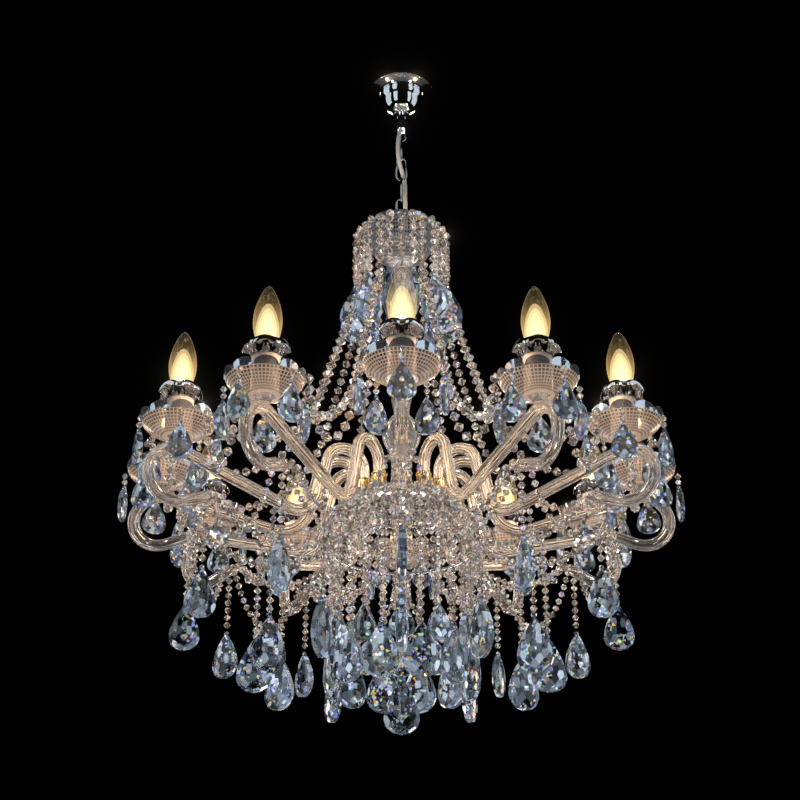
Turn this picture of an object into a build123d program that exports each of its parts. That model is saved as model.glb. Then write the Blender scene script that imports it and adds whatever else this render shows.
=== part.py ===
"""Twelve-arm crystal chandelier, hung on a short chain from a ceiling bracket.

Frame: origin in the ceiling plane at the middle of the bracket, +Z up, so the light is all
below zero. The first arm points along -Y. Every height is stacked from the lengths below.
"""

import os
from math import asin, atan2, cos, cosh, degrees, hypot, radians, sin, tan

from build123d import *

os.makedirs("parts", exist_ok=True)

# ------------------------------------------------------------------ driving dimensions, mm
# Whole light
arm_count = 12
first_arm_angle = -90.0
candle_circle_radius = 320.0
seat_play = 0.3
wire_root = 0.5

# Ceiling bracket and the threaded tube it carries
strap_length = 72.0
strap_width = 18.0
strap_thickness = 3.0
screw_hole_radius = 2.6
screw_hole_spacing = 54.0
boss_radius = 9.0
boss_height = 9.0
tube_engagement = 7.0
tube_radius = 5.0
tube_bore_radius = 3.4
thread_play = 0.05
lock_nut_height = 4.0
terminal_length = 16.0
terminal_width = 10.0
terminal_height = 9.0

# Canopy, its clamping nut and the loop that carries the chain
canopy_rim_radius = 47.0
canopy_bell_radius = 33.0
canopy_neck_radius = 12.0
canopy_bell_height = 46.5
canopy_sleeve_radius = 6.2
canopy_sleeve_length = 12.0
canopy_wall = 1.0
canopy_nut_radius = 7.0
canopy_nut_height = 7.5
loop_collar_radius = 8.0
loop_collar_height = 7.0
loop_thread_length = 4.0
loop_mouth_radius = 4.6
loop_wire = 3.0
loop_half_width = 6.2
loop_drop = 17.5

# Chain
link_count = 4
link_wire = 2.8
link_width = 17.0
link_inner_length = 35.5

# Supply cable: its route from the tube's bore, in and out of the links, to the crown
cable_radius = 3.0
cable_hole_radius = 3.2
cable_entry_depth = 8.0
cable_route = [
    (0.0, 0.0, -14.0),
    (0.0, 0.0, -72.0),
    (-4.9, -5.4, -88.0),
    (-5.3, -5.4, -128.0),
    (5.1, 5.6, -159.0),
    (5.6, 1.0, -178.0),
    (5.2, -6.0, -197.0),
    (6.4, -5.4, -231.0),
    (6.4, -5.4, -258.0),
]

# Crown: the loop's cup, the glass bowl and the rod through everything
loop_leg_drop = 21.0
loop_cup_radius = 12.0
loop_cup_height = 16.0
rod_bore_radius = 3.0
rod_play = 0.2
rod_thread_length = 6.0
spacer_radius = 8.0
spacer_length = 30.0
crown_floor = 4.0
crown_base_radius = 19.0
crown_rim_radius = 53.0
crown_depth = 62.0
crown_shoulder_rise = 34.0
crown_shoulder_radius = 48.0
crown_lobe_height = 9.0
crown_gap = 12.0
crown_wall = 3.0

# Glass turnings threaded on the rod, a thin washer under each
washer_gap = 0.1
saucer_radius = 19.0
saucer_thickness = 4.0
baluster_radius = 14.0
upper_baluster_length = 96.0
ball_radius = 17.0
ball_length = 30.0
lower_baluster_length = 113.0
vase_radius = 26.0
vase_waist_radius = 14.0
vase_foot_radius = 20.0
vase_length = 127.0

# Hub
hub_radius = 70.0
hub_thickness = 7.0
cup_circle_radius = 58.0
cup_radius = 10.5
cup_height = 20.0
cup_floor = 2.0
cup_play = 0.3
hub_cover_radius = 42.0
hub_cover_height = 16.0
hub_nut_radius = 11.0
hub_nut_height = 10.0
nut_engagement = 6.0

# Glass arm, followed from its foot: radius and height of each bend's centre
arm_tube_radius = 8.0
arm_sides = 6
arm_foot_length = 29.0
hump_radius = 27.0
trough_centre_radius = 157.0
trough_centre_rise = -9.0
trough_radius = 35.0
crook_centre_rise = -30.0
crook_radius = 34.0
crook_tail_angle = -110.0
crook_tail_length = 37.0
bend_step = 30.0
stem_height = 8.0
stem_top_radius = 11.0

# Drip dish
dish_base_radius = 17.0
dish_belly_radius = 43.0
dish_belly_rise = 15.0
dish_rim_radius = 50.0
dish_rim_rise = 36.0
dish_lobe_height = 12.0
dish_lobe_count = 10
dish_floor = 3.5
dish_wall = 2.5
lobe_gap = 11.0

# Candle: lampholder, sleeve, collar and bulb
holder_radius = 12.5
holder_height = 58.5
holder_bore_radius = 7.3
holder_bore_depth = 19.0
sleeve_radius = 17.0
sleeve_wall = 1.5
sleeve_height = 62.5
sleeve_play = 0.2
collar_band_height = 12.0
collar_plate = 1.5
collar_hole_radius = 14.6
collar_radius = 29.5
collar_petal_depth = 3.0
collar_petals = 6
collar_rise = 6.0
bulb_radius = 17.5
bulb_neck_radius = 11.5
bulb_cap_radius = 6.9
bulb_cap_length = 24.0
bulb_glass_length = 80.0

# Crystal drops: height, width and thickness of the two almond sizes
large_drop = (76.0, 44.0, 14.0)
middle_drop = (66.0, 38.0, 12.0)
small_drop = (50.0, 32.0, 10.0)
strand_radius = 5.0
thin_strand_radius = 3.5
strand_sides = 3
hang_gap = 0.4
strand_lead = 6.0
ring_radius = 92.0
ring_drop = 62.0
ring_wire = 3.0
crown_drop_radius = 66.0
crown_drop_length = 107.0
crown_swag = [
    (0.04, 0.24),
    (0.14, 0.45),
    (0.355, 0.81),
    (0.53, 0.94),
    (0.80, 0.995),
]
dish_drop_length = 18.0
dish_swag_sag = 88.0
tail_drop_length = 77.0
tail_swag_sag = 66.0
tail_hook_setback = 4.0
tail_pair_spread = 3.8
ring_swag_sag = 30.0
ring_swag_spread = 8.0
arm_hang_radius = 186.0
arm_drop_length = 136.0
short_ring_drop = 106.0
long_ring_drop = 146.0
centre_drop_length = 200.0

# ------------------------------------------------------------------ heights and places
boss_bottom = -strap_thickness - boss_height
tube_top = boss_bottom + tube_engagement
canopy_bottom = -(canopy_bell_height + canopy_sleeve_length)
canopy_nut_bottom = canopy_bottom - canopy_nut_height
loop_collar_bottom = canopy_nut_bottom - loop_collar_height
tube_bottom = canopy_nut_bottom - loop_thread_length
loop_bar_top = loop_collar_bottom - loop_drop

link_pitch = link_inner_length - seat_play
hang_height = loop_bar_top - link_count * link_pitch

loop_cup_top = hang_height - loop_leg_drop
loop_cup_bottom = loop_cup_top - loop_cup_height
crown_floor_top = loop_cup_bottom - spacer_length
crown_bottom = crown_floor_top - crown_floor
crown_rim = crown_bottom + crown_depth
saucer_bottom = crown_bottom - saucer_thickness
upper_baluster_bottom = saucer_bottom - upper_baluster_length
ball_bottom = upper_baluster_bottom - ball_length
lower_baluster_bottom = ball_bottom - lower_baluster_length
hub_top = lower_baluster_bottom - vase_length
hub_bottom = hub_top - hub_thickness
hub_cover_bottom = hub_bottom - hub_cover_height
hub_nut_bottom = hub_cover_bottom - hub_nut_height

arm_foot = hub_top + cup_floor
crook_centre = arm_foot + crook_centre_rise
crook_top = crook_centre + crook_radius + arm_tube_radius
dish_bottom = crook_top + stem_height
dish_floor_top = dish_bottom + dish_floor
dish_rim = dish_bottom + dish_rim_rise
holder_top = dish_floor_top + holder_height
sleeve_top = dish_floor_top + sleeve_height
bulb_bottom = holder_top - holder_bore_depth + seat_play
bulb_shoulder = bulb_bottom + bulb_cap_length
ring_height = hub_bottom - ring_drop

arm_angles = [first_arm_angle + 360.0 / arm_count * i for i in range(arm_count)]


# ------------------------------------------------------------------ helpers
def save(builder, name):
    """Label a finished piece and write its STEP file."""
    builder.part.label = name
    export_step(builder.part, f"parts/{name}.step")


def turned(rings, sides, rotation=0.0):
    """Faceted turning: rings of (inscribed radius, height), each band straight or cut from a pyramid."""
    with BuildPart() as blank:
        for pair in zip(rings, rings[1:]):
            narrow, wide = sorted(pair)
            rise = narrow[1] - wide[1]
            shrink = wide[0] - narrow[0]
            with BuildSketch(Plane.XY.offset(wide[1])) as base:
                RegularPolygon(wide[0], sides, major_radius=False, rotation=rotation)
            with BuildPart(mode=Mode.PRIVATE) as band:
                if shrink < 0.01:
                    extrude(base.sketch, amount=rise)
                else:
                    loft([base.sketch.face(), Vertex(0, 0, wide[1] + rise * wide[0] / shrink)])
                    kept = Keep.TOP if rise < 0 else Keep.BOTTOM
                    split(bisect_by=Plane.XY.offset(narrow[1]), keep=kept)
            add(band.part)
    return blank.part


def wire_along(points, radius, sides):
    """Straight-run tube of a regular section, mitred at every point."""
    start = Plane(origin=points[0], z_dir=Vector(*points[1]) - Vector(*points[0]))
    with BuildPart() as tube:
        with BuildLine() as path:
            Polyline(*points)
        with BuildSketch(start):
            RegularPolygon(radius, sides)
        sweep(path=path.wires()[0], transition=Transition.RIGHT)
    return tube.part


def bend(centre, radius, start_angle, end_angle, step=bend_step):
    """Points (radius, height) along an arc in the arm's plane, ends included."""
    count = max(1, round(abs(end_angle - start_angle) / step))
    turns = [start_angle + (end_angle - start_angle) * i / count for i in range(count + 1)]
    return [
        (centre[0] + radius * cos(radians(a)), centre[1] + radius * sin(radians(a)))
        for a in turns
    ]


def polar(radius, angle, height):
    """Point at a radius, an angle in degrees from the first arm's +X, and a height."""
    return (radius * cos(radians(angle)), radius * sin(radians(angle)), height)


def almond(size, top, turn):
    """Cut almond drop hanging from the point top, its flat side turned by turn degrees."""
    height, width, thickness = size
    half = width / 2
    outline = [
        (0, 0),
        (half, -height * 0.52),
        (half * 0.7, -height * 0.88),
        (0, -height),
        (-half * 0.7, -height * 0.88),
        (-half, -height * 0.52),
    ]
    with BuildSketch(Plane.XZ) as girdle:
        with BuildLine():
            Polyline(*outline, close=True)
        make_face()
    centre_height = -height * 0.6
    front = Vertex(0, -thickness / 2, centre_height)
    back = Vertex(0, thickness / 2, centre_height)
    with BuildPart() as drop:
        loft([front, girdle.sketch.face()], ruled=True)
        loft([girdle.sketch.face(), back], ruled=True)
    return drop.part.moved(Location(top, (0, 0, turn)))


def ring_of(blanks, name):
    """One node holding a copy of each blank at every arm."""
    with BuildPart() as group:
        with PolarLocations(0, arm_count, start_angle=first_arm_angle):
            add(blanks)
    save(group, name)
    return group


def at_every_arm(blank, name):
    """A node of its own, name_01 and on, for the copy of the blank at each arm."""
    for number, angle in enumerate(arm_angles, start=1):
        with BuildPart() as piece:
            with Locations(Location((0, 0, 0), (0, 0, angle))):
                add(blank)
        save(piece, f"{name}_{number:02d}")


# ------------------------------------------------------------------ ceiling bracket
with BuildPart() as ceiling_bracket:
    with BuildSketch():
        SlotOverall(strap_length, strap_width)
    extrude(amount=-strap_thickness)
    with BuildSketch(Plane.XY.offset(-strap_thickness)):
        RegularPolygon(boss_radius, 12)
    extrude(amount=-boss_height)
    with BuildSketch(Plane.XY.offset(boss_bottom)):
        RegularPolygon(tube_radius + thread_play, 12, major_radius=False)
    extrude(amount=tube_engagement, mode=Mode.SUBTRACT)
    with Locations((screw_hole_spacing / 2, 0, 0), (-screw_hole_spacing / 2, 0, 0)):
        Hole(screw_hole_radius)
save(ceiling_bracket, "ceiling_bracket")

# Block with two wire holes, held under one wing of the strap
with BuildPart() as terminal_block:
    terminal_middle = boss_radius + seat_play + terminal_length / 2
    with Locations((terminal_middle, 0, -strap_thickness)):
        Box(
            terminal_length,
            terminal_width,
            terminal_height,
            align=(Align.CENTER, Align.CENTER, Align.MAX),
        )
save(terminal_block, "terminal_block")

# Threaded tube from the bracket to the loop, with the cable in its bore
with BuildPart() as hanger_tube:
    with BuildSketch(Plane.XY.offset(tube_bottom)):
        RegularPolygon(tube_radius, 12)
        RegularPolygon(tube_bore_radius, 12, major_radius=False, mode=Mode.SUBTRACT)
    extrude(amount=tube_top - tube_bottom)
save(hanger_tube, "hanger_tube")

# Lock nut under the boss and the clamping nut that holds the canopy up
with BuildPart() as canopy_nuts:
    with BuildSketch(Plane.XY.offset(boss_bottom - lock_nut_height)):
        RegularPolygon(boss_radius, 6)
        RegularPolygon(tube_radius + thread_play, 12, major_radius=False, mode=Mode.SUBTRACT)
    extrude(amount=lock_nut_height)
    with BuildSketch(Plane.XY.offset(canopy_nut_bottom)):
        RegularPolygon(canopy_nut_radius, 12)
        RegularPolygon(tube_radius + thread_play, 12, major_radius=False, mode=Mode.SUBTRACT)
    extrude(amount=canopy_nut_height)
save(canopy_nuts, "canopy_nuts")


# ------------------------------------------------------------------ canopy
def canopy_rings(inset):
    """Canopy's profile as (radius, height) rings, moved inwards by inset."""
    shoulder = canopy_bell_radius - inset
    neck = canopy_neck_radius - inset
    flange_edge = -0.2 if inset else -canopy_wall
    return [
        (canopy_rim_radius - inset, 0),
        (canopy_rim_radius - inset, flange_edge),
        (shoulder, -canopy_bell_height * 0.13 + inset / 2),
        (shoulder, -canopy_bell_height * 0.3),
        (shoulder * 0.88, -canopy_bell_height * 0.43),
        (shoulder * 0.83, -canopy_bell_height * 0.58),
        ((shoulder + neck) / 2, -canopy_bell_height * 0.82 + inset / 2),
        (neck, -canopy_bell_height + canopy_wall + inset),
        (canopy_sleeve_radius - inset, -canopy_bell_height + inset),
        (canopy_sleeve_radius - inset, canopy_bottom),
    ]


with BuildPart() as canopy:
    add(turned(canopy_rings(0), 16))
    add(turned(canopy_rings(canopy_wall), 16), mode=Mode.SUBTRACT)
save(canopy, "canopy")

# ------------------------------------------------------------------ loop and chain
bail_centre = loop_bar_top - loop_wire / 2 + loop_half_width


def bail_points(half_width, leg_height, arc_height, arc_sign):
    """U-shaped wire in the XZ plane: leg, half turn, leg."""
    turns = [180 * i / 8 for i in range(9)]
    arc = [
        (half_width * cos(radians(a)), 0, arc_height + arc_sign * half_width * sin(radians(a)))
        for a in turns
    ]
    return [(half_width, 0, leg_height)] + arc + [(-half_width, 0, leg_height)]


with BuildPart() as canopy_loop:
    with BuildSketch(Plane.XY.offset(loop_collar_bottom)):
        RegularPolygon(loop_collar_radius, 12)
        RegularPolygon(loop_mouth_radius, 12, major_radius=False, mode=Mode.SUBTRACT)
    extrude(amount=loop_collar_height)
    with BuildSketch(Plane.XY.offset(tube_bottom)):
        RegularPolygon(tube_radius + thread_play, 12, major_radius=False)
    extrude(amount=loop_thread_length, mode=Mode.SUBTRACT)
    collar_root = loop_collar_bottom + wire_root
    loop_line = bail_points(loop_half_width, collar_root, bail_centre, -1)
    add(wire_along(loop_line, loop_wire / 2, 6))
save(canopy_loop, "canopy_loop")


def link_points(top_inner):
    """Closed run round one link in the XZ plane, from the middle of a leg."""
    half = (link_width - link_wire) / 2
    upper = top_inner + link_wire / 2 - half
    lower = top_inner - link_inner_length - link_wire / 2 + half
    turns = [180 * i / 6 for i in range(7)]
    top = [(half * cos(radians(a)), 0, upper + half * sin(radians(a))) for a in turns]
    bottom = [(-half * cos(radians(a)), 0, lower - half * sin(radians(a))) for a in turns]
    middle = (half, 0, (upper + lower) / 2)
    return [middle] + top + bottom + [middle]


for number in range(1, link_count + 1):
    top_inner = loop_bar_top + seat_play - (number - 1) * link_pitch
    edge_on = number % 2 == 1
    with BuildPart() as chain_link:
        with Locations(Location((0, 0, 0), (0, 0, 90 if edge_on else 0))):
            add(wire_along(link_points(top_inner), link_wire / 2, 6))
    save(chain_link, f"chain_link_{number}")


# ------------------------------------------------------------------ supply cable
def blend_radii(points):
    """Largest tangent arc at each corner: 0.45 of the shorter run over the half turn's tangent."""
    radii = []
    for before, corner, after in zip(points, points[1:], points[2:]):
        run_in = Vector(*corner) - Vector(*before)
        run_out = Vector(*after) - Vector(*corner)
        half_turn = radians(run_in.get_angle(run_out)) / 2
        radii.append(0.45 * min(run_in.length, run_out.length) / tan(half_turn))
    return radii


cable_radii = blend_radii(cable_route)
print("cable bend radii", [round(radius, 1) for radius in cable_radii])
with BuildPart() as supply_cable:
    with BuildLine() as cable_path:
        FilletPolyline(*cable_route, radius=cable_radii)
    with BuildSketch(Plane(origin=cable_route[0], z_dir=(0, 0, -1))):
        RegularPolygon(cable_radius, 8)
    sweep(path=cable_path.wires()[0])
print("cable length", round(cable_path.wires()[0].length, 1))
save(supply_cable, "supply_cable")

# ------------------------------------------------------------------ crown
# Loop on top of a cup; the cable enters the cup beside the loop
bail_top = hang_height + seat_play + loop_wire / 2 - loop_half_width
with BuildPart() as top_loop:
    with BuildSketch(Plane.XY.offset(loop_cup_bottom)):
        RegularPolygon(loop_cup_radius, 16)
    extrude(amount=loop_cup_height)
    with BuildSketch(Plane.XY.offset(loop_cup_bottom)):
        RegularPolygon(tube_radius + thread_play, 12, major_radius=False)
    extrude(amount=rod_thread_length, mode=Mode.SUBTRACT)
    with BuildSketch(Plane.XY.offset(loop_cup_top)):
        with Locations(cable_route[-1][:2]):
            RegularPolygon(cable_hole_radius, 12, major_radius=False)
    extrude(amount=-cable_entry_depth, mode=Mode.SUBTRACT)
    bail_line = bail_points(loop_half_width, loop_cup_top - wire_root, bail_top, 1)
    with Locations(Location((0, 0, 0), (0, 0, 90))):
        add(wire_along(bail_line, loop_wire / 2, 6))
save(top_loop, "top_loop")

rod_top = loop_cup_bottom + rod_thread_length
rod_bottom = hub_cover_bottom - nut_engagement + seat_play
with BuildPart() as centre_rod:
    with BuildSketch(Plane.XY.offset(rod_bottom)):
        RegularPolygon(tube_radius, 12)
        RegularPolygon(rod_bore_radius, 12, mode=Mode.SUBTRACT)
    extrude(amount=rod_top - rod_bottom)
save(centre_rod, "centre_rod")


def rod_bore(bottom, top):
    """Clearance for the centre rod, as a solid to take away."""
    return turned([(tube_radius + rod_play, bottom), (tube_radius + rod_play, top)], 8)


def lobe_gaps(count, radius, bottom, top, width):
    """V-shaped wedges that part the lobes of a scalloped rim, first one at +X."""
    with BuildPart() as wedge:
        with BuildSketch(Plane.YZ):
            with BuildLine():
                Polyline((0, bottom), (width / 2, top), (-width / 2, top), close=True)
            make_face()
        extrude(amount=radius)
    with BuildPart() as wedges:
        with PolarLocations(0, count):
            add(wedge.part)
    return wedges.part


def crown_rings(inset, lowest):
    """Crown bowl's profile, moved inwards by inset and started at the given height."""
    flare = (crown_rim_radius - crown_shoulder_radius) / (crown_depth - crown_shoulder_rise)
    tip_radius = crown_rim_radius + flare * crown_lobe_height
    return [
        (crown_base_radius - inset, lowest),
        (crown_shoulder_radius * 0.75 - inset, crown_bottom + crown_shoulder_rise * 0.38),
        (crown_shoulder_radius - inset, crown_bottom + crown_shoulder_rise),
        (tip_radius - inset, crown_rim + crown_lobe_height),
    ]


with BuildPart() as crown_bowl:
    add(turned(crown_rings(0, crown_bottom), 24, rotation=7.5))
    add(turned(crown_rings(crown_wall, crown_floor_top), 24, rotation=7.5), mode=Mode.SUBTRACT)
    add(rod_bore(crown_bottom - 1, crown_floor_top + 1), mode=Mode.SUBTRACT)
    crown_gaps = lobe_gaps(
        arm_count, 2 * crown_rim_radius, crown_rim, crown_rim + crown_lobe_height + 1, crown_gap
    )
    add(crown_gaps, mode=Mode.SUBTRACT)
save(crown_bowl, "crown_bowl")

# ------------------------------------------------------------------ column
spacer = [(spacer_radius, crown_floor_top), (spacer_radius, loop_cup_bottom)]
saucer = [
    (saucer_radius * 0.6, saucer_bottom),
    (saucer_radius, saucer_bottom + saucer_thickness * 0.6),
    (saucer_radius, crown_bottom),
]
upper_baluster = [
    (baluster_radius * 0.65, upper_baluster_bottom),
    (baluster_radius * 0.6, upper_baluster_bottom + upper_baluster_length * 0.25),
    (baluster_radius, saucer_bottom - upper_baluster_length * 0.2),
    (baluster_radius * 0.7, saucer_bottom),
]
ball = [
    (ball_radius * 0.6, ball_bottom),
    (ball_radius, ball_bottom + ball_length * 0.35),
    (ball_radius, ball_bottom + ball_length * 0.65),
    (ball_radius * 0.6, upper_baluster_bottom),
]
lower_baluster = [
    (baluster_radius * 0.65, lower_baluster_bottom),
    (baluster_radius, lower_baluster_bottom + lower_baluster_length * 0.25),
    (baluster_radius * 0.6, ball_bottom - lower_baluster_length * 0.3),
    (baluster_radius * 0.65, ball_bottom),
]
vase = [
    (vase_foot_radius, hub_top),
    (vase_waist_radius, hub_top + vase_length * 0.3),
    (vase_waist_radius, hub_top + vase_length * 0.5),
    (vase_radius, hub_top + vase_length * 0.7),
    (vase_radius * 0.75, hub_top + vase_length * 0.86),
    (baluster_radius * 0.7, lower_baluster_bottom),
]
with BuildPart() as column_glass:
    for turning in (spacer, saucer, upper_baluster, ball, lower_baluster, vase):
        lowest = (turning[0][0], turning[0][1] + washer_gap)
        bore = rod_bore(turning[0][1] - 1, turning[-1][1] + 1)
        add(turned([lowest] + turning[1:], 12) - bore)
save(column_glass, "column_glass")

# ------------------------------------------------------------------ hub
with BuildPart() as hub_plate:
    with BuildSketch(Plane.XY.offset(hub_bottom)):
        RegularPolygon(hub_radius, 2 * arm_count, major_radius=False, rotation=180 / (2 * arm_count))
    extrude(amount=hub_thickness)
    add(rod_bore(hub_bottom - 1, hub_top + 1), mode=Mode.SUBTRACT)
save(hub_plate, "hub_plate")

with BuildPart() as hub_cup:
    with BuildSketch(Plane.XY.offset(hub_top)):
        with Locations((cup_circle_radius, 0)):
            RegularPolygon(cup_radius, 8)
    extrude(amount=cup_height)
    with BuildSketch(Plane.XY.offset(arm_foot)):
        with Locations((cup_circle_radius, 0)):
            RegularPolygon(arm_tube_radius + cup_play, 6)
    extrude(amount=cup_height, mode=Mode.SUBTRACT)
ring_of([hub_cup.part], "hub_cups")

cover = [
    (hub_nut_radius + 4, hub_cover_bottom),
    (hub_cover_radius * 0.8, hub_cover_bottom + hub_cover_height * 0.45),
    (hub_cover_radius, hub_bottom),
]
nut_top = hub_cover_bottom - washer_gap
nut = [(hub_nut_radius * 0.5, hub_nut_bottom), (hub_nut_radius, nut_top)]
with BuildPart() as hub_cover:
    add(turned(cover, 16) - rod_bore(hub_cover_bottom - 1, hub_bottom + 1))
    add(turned(nut, 8) - rod_bore(hub_cover_bottom - nut_engagement, hub_cover_bottom))
save(hub_cover, "hub_cover")

with BuildPart() as basket_ring:
    with BuildSketch(Plane.XY.offset(ring_height - ring_wire / 2)):
        RegularPolygon(ring_radius + ring_wire / 2, 24, major_radius=False, rotation=7.5)
        RegularPolygon(ring_radius - ring_wire / 2, 24, major_radius=False, rotation=7.5, mode=Mode.SUBTRACT)
    extrude(amount=ring_wire)
save(basket_ring, "basket_ring")


# ------------------------------------------------------------------ glass arms
def crossing_line(start, end, reach):
    """Direction in degrees of the line that passes between two bends, reach apart across it."""
    gap = (end[0] - start[0], end[1] - start[1])
    return degrees(atan2(gap[1], gap[0]) - asin(reach / hypot(*gap)))


hump = (cup_circle_radius + hump_radius, arm_foot + arm_foot_length)
trough = (trough_centre_radius, arm_foot + trough_centre_rise)
crook = (candle_circle_radius, crook_centre)
fall = crossing_line(hump, trough, hump_radius + trough_radius)
rise = crossing_line(trough, crook, -(trough_radius + crook_radius))
crook_turn = bend(crook, crook_radius, rise + 90, crook_tail_angle)
tail_angle = crook_tail_angle - 90
tail_end = (
    crook_turn[-1][0] + crook_tail_length * cos(radians(tail_angle)),
    crook_turn[-1][1] + crook_tail_length * sin(radians(tail_angle)),
)
arm_line = (
    [(cup_circle_radius, arm_foot)]
    + bend(hump, hump_radius, 180, fall + 90)
    + bend(trough, trough_radius, fall - 90, rise - 90)
    + crook_turn
    + [tail_end]
)
with BuildPart() as arm:
    add(wire_along([(r, 0, z) for r, z in arm_line], arm_tube_radius, arm_sides))
    with Locations((candle_circle_radius, 0, 0)):
        add(turned([(arm_tube_radius - 2, crook_top - 7), (stem_top_radius, dish_bottom)], 6))
at_every_arm(arm.part, "arm")


# ------------------------------------------------------------------ candles
def dish_rings(inset, lowest):
    """Drip dish's profile, moved inwards by inset and started at the given height."""
    flare = (dish_rim_radius - dish_belly_radius) / (dish_rim_rise - dish_belly_rise)
    tip_radius = dish_rim_radius + flare * dish_lobe_height
    return [
        (dish_base_radius + inset / 2, lowest),
        (dish_belly_radius - inset, dish_bottom + dish_belly_rise),
        (tip_radius - inset, dish_rim + dish_lobe_height),
    ]


half_lobe = 180 / dish_lobe_count
with BuildPart() as drip_dish:
    add(turned(dish_rings(0, dish_bottom), dish_lobe_count, rotation=half_lobe))
    dish_hollow = turned(dish_rings(dish_wall, dish_floor_top), dish_lobe_count, rotation=half_lobe)
    add(dish_hollow, mode=Mode.SUBTRACT)
    dish_gaps = lobe_gaps(
        dish_lobe_count, 2 * dish_rim_radius, dish_rim, dish_rim + dish_lobe_height + 1, lobe_gap
    )
    with Locations(Location((0, 0, 0), (0, 0, half_lobe))):
        add(dish_gaps, mode=Mode.SUBTRACT)
at_candle = Location((candle_circle_radius, 0, 0))
at_every_arm(drip_dish.part.moved(at_candle), "drip_dish")

with BuildPart() as lampholder:
    with BuildSketch(Plane.XY.offset(dish_floor_top)):
        RegularPolygon(holder_radius, 6)
    extrude(amount=holder_height)
    with BuildSketch(Plane.XY.offset(holder_top - holder_bore_depth)):
        RegularPolygon(holder_bore_radius, 8, major_radius=False)
    extrude(amount=holder_bore_depth, mode=Mode.SUBTRACT)
ring_of([lampholder.part.moved(at_candle)], "lampholders")

with BuildPart() as candle_sleeve:
    with BuildSketch(Plane.XY.offset(dish_floor_top)):
        RegularPolygon(sleeve_radius, 8)
        RegularPolygon(sleeve_radius - sleeve_wall, 8, mode=Mode.SUBTRACT)
    extrude(amount=sleeve_height)
ring_of([candle_sleeve.part.moved(at_candle)], "candle_sleeves")


def petal_outline(radius):
    """Corners of a ruffled edge: a petal's tip, then the dip beside it."""
    dip = 1 - collar_petal_depth / collar_radius
    corners = []
    for i in range(2 * collar_petals):
        reach = radius if i % 2 == 0 else radius * dip
        turn = radians(180 * i / collar_petals)
        corners.append((reach * cos(turn), reach * sin(turn)))
    return corners


def ruffle(inner, outer, bottom, top):
    """Flared solid between an inner and an outer ruffled outline, cut from a pyramid."""
    apex = Vertex(0, 0, bottom - inner * (top - bottom) / (outer - inner))
    with BuildSketch(Plane.XY.offset(top)) as rim:
        with BuildLine():
            Polyline(*petal_outline(outer), close=True)
        make_face()
    with BuildPart() as flare:
        loft([apex, rim.sketch.face()], ruled=True)
        split(bisect_by=Plane.XY.offset(bottom), keep=Keep.TOP)
    return flare.part


band_radius = sleeve_radius + collar_plate
with BuildPart() as bulb_collar:
    petal_root = band_radius + collar_petal_depth
    petal_top = sleeve_top + collar_rise
    add(ruffle(petal_root, collar_radius, sleeve_top, petal_top))
    with BuildSketch(Plane.XY.offset(sleeve_top - collar_band_height)):
        RegularPolygon(band_radius + sleeve_play, 8)
        RegularPolygon(sleeve_radius + sleeve_play, 8, mode=Mode.SUBTRACT)
    extrude(amount=collar_band_height)
    with BuildSketch(Plane.XY.offset(sleeve_top)):
        RegularPolygon(collar_hole_radius, 8, major_radius=False)
    extrude(amount=collar_rise, mode=Mode.SUBTRACT)
ring_of([bulb_collar.part.moved(at_candle)], "bulb_collars")

bulb_rings = [
    (bulb_cap_radius, bulb_bottom),
    (bulb_cap_radius, bulb_shoulder - 1),
    (bulb_neck_radius, bulb_shoulder + 2),
    (bulb_radius, bulb_shoulder + bulb_glass_length * 0.36),
    (bulb_radius * 0.66, bulb_shoulder + bulb_glass_length * 0.74),
    (bulb_radius * 0.1, bulb_shoulder + bulb_glass_length),
]
at_every_arm(turned(bulb_rings, 8).moved(at_candle), "bulb")


# ------------------------------------------------------------------ crystal strands and drops
drops = []
strands = []


def hang(points, radius=strand_radius, drop=None, turn=90):
    """Bead strand as a plain tube along its line, with an almond drop under its end if any."""
    strands.append(wire_along(points, radius, strand_sides))
    if drop:
        x, y, foot = points[-1]
        drops.append(almond(drop, (x, y, foot - hang_gap), turn))


def catenary(start, end, sag, runs):
    """Points of a strand hung between two points, its sag measured below the line between."""
    span = hypot(end[0] - start[0], end[1] - start[1])
    low, high = 0.001, 20.0
    for _ in range(60):
        k = (low + high) / 2
        if (cosh(k) - 1) / (2 * k) < sag / span:
            low = k
        else:
            high = k
    points = []
    for i in range(runs + 1):
        t = i / runs
        x, y, z = (a + (b - a) * t for a, b in zip(start, end))
        fall = sag * (cosh(k) - cosh(k * (2 * t - 1))) / (cosh(k) - 1)
        points.append((x, y, z - fall))
    return points


half_pitch = 180 / arm_count


def mirrored(point):
    """The point's mirror image in the plane half way to the next arm."""
    radius, angle = hypot(point[0], point[1]), degrees(atan2(point[1], point[0]))
    return polar(radius, 2 * half_pitch - angle, point[2])


def to_next_arm(lead, sag, runs, radius=strand_radius):
    """Strand from the lead's two points to their mirror image at the next arm."""
    swag = catenary(lead[1], mirrored(lead[1]), sag, runs)
    hang([lead[0]] + swag + [mirrored(lead[0])], radius)


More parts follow.
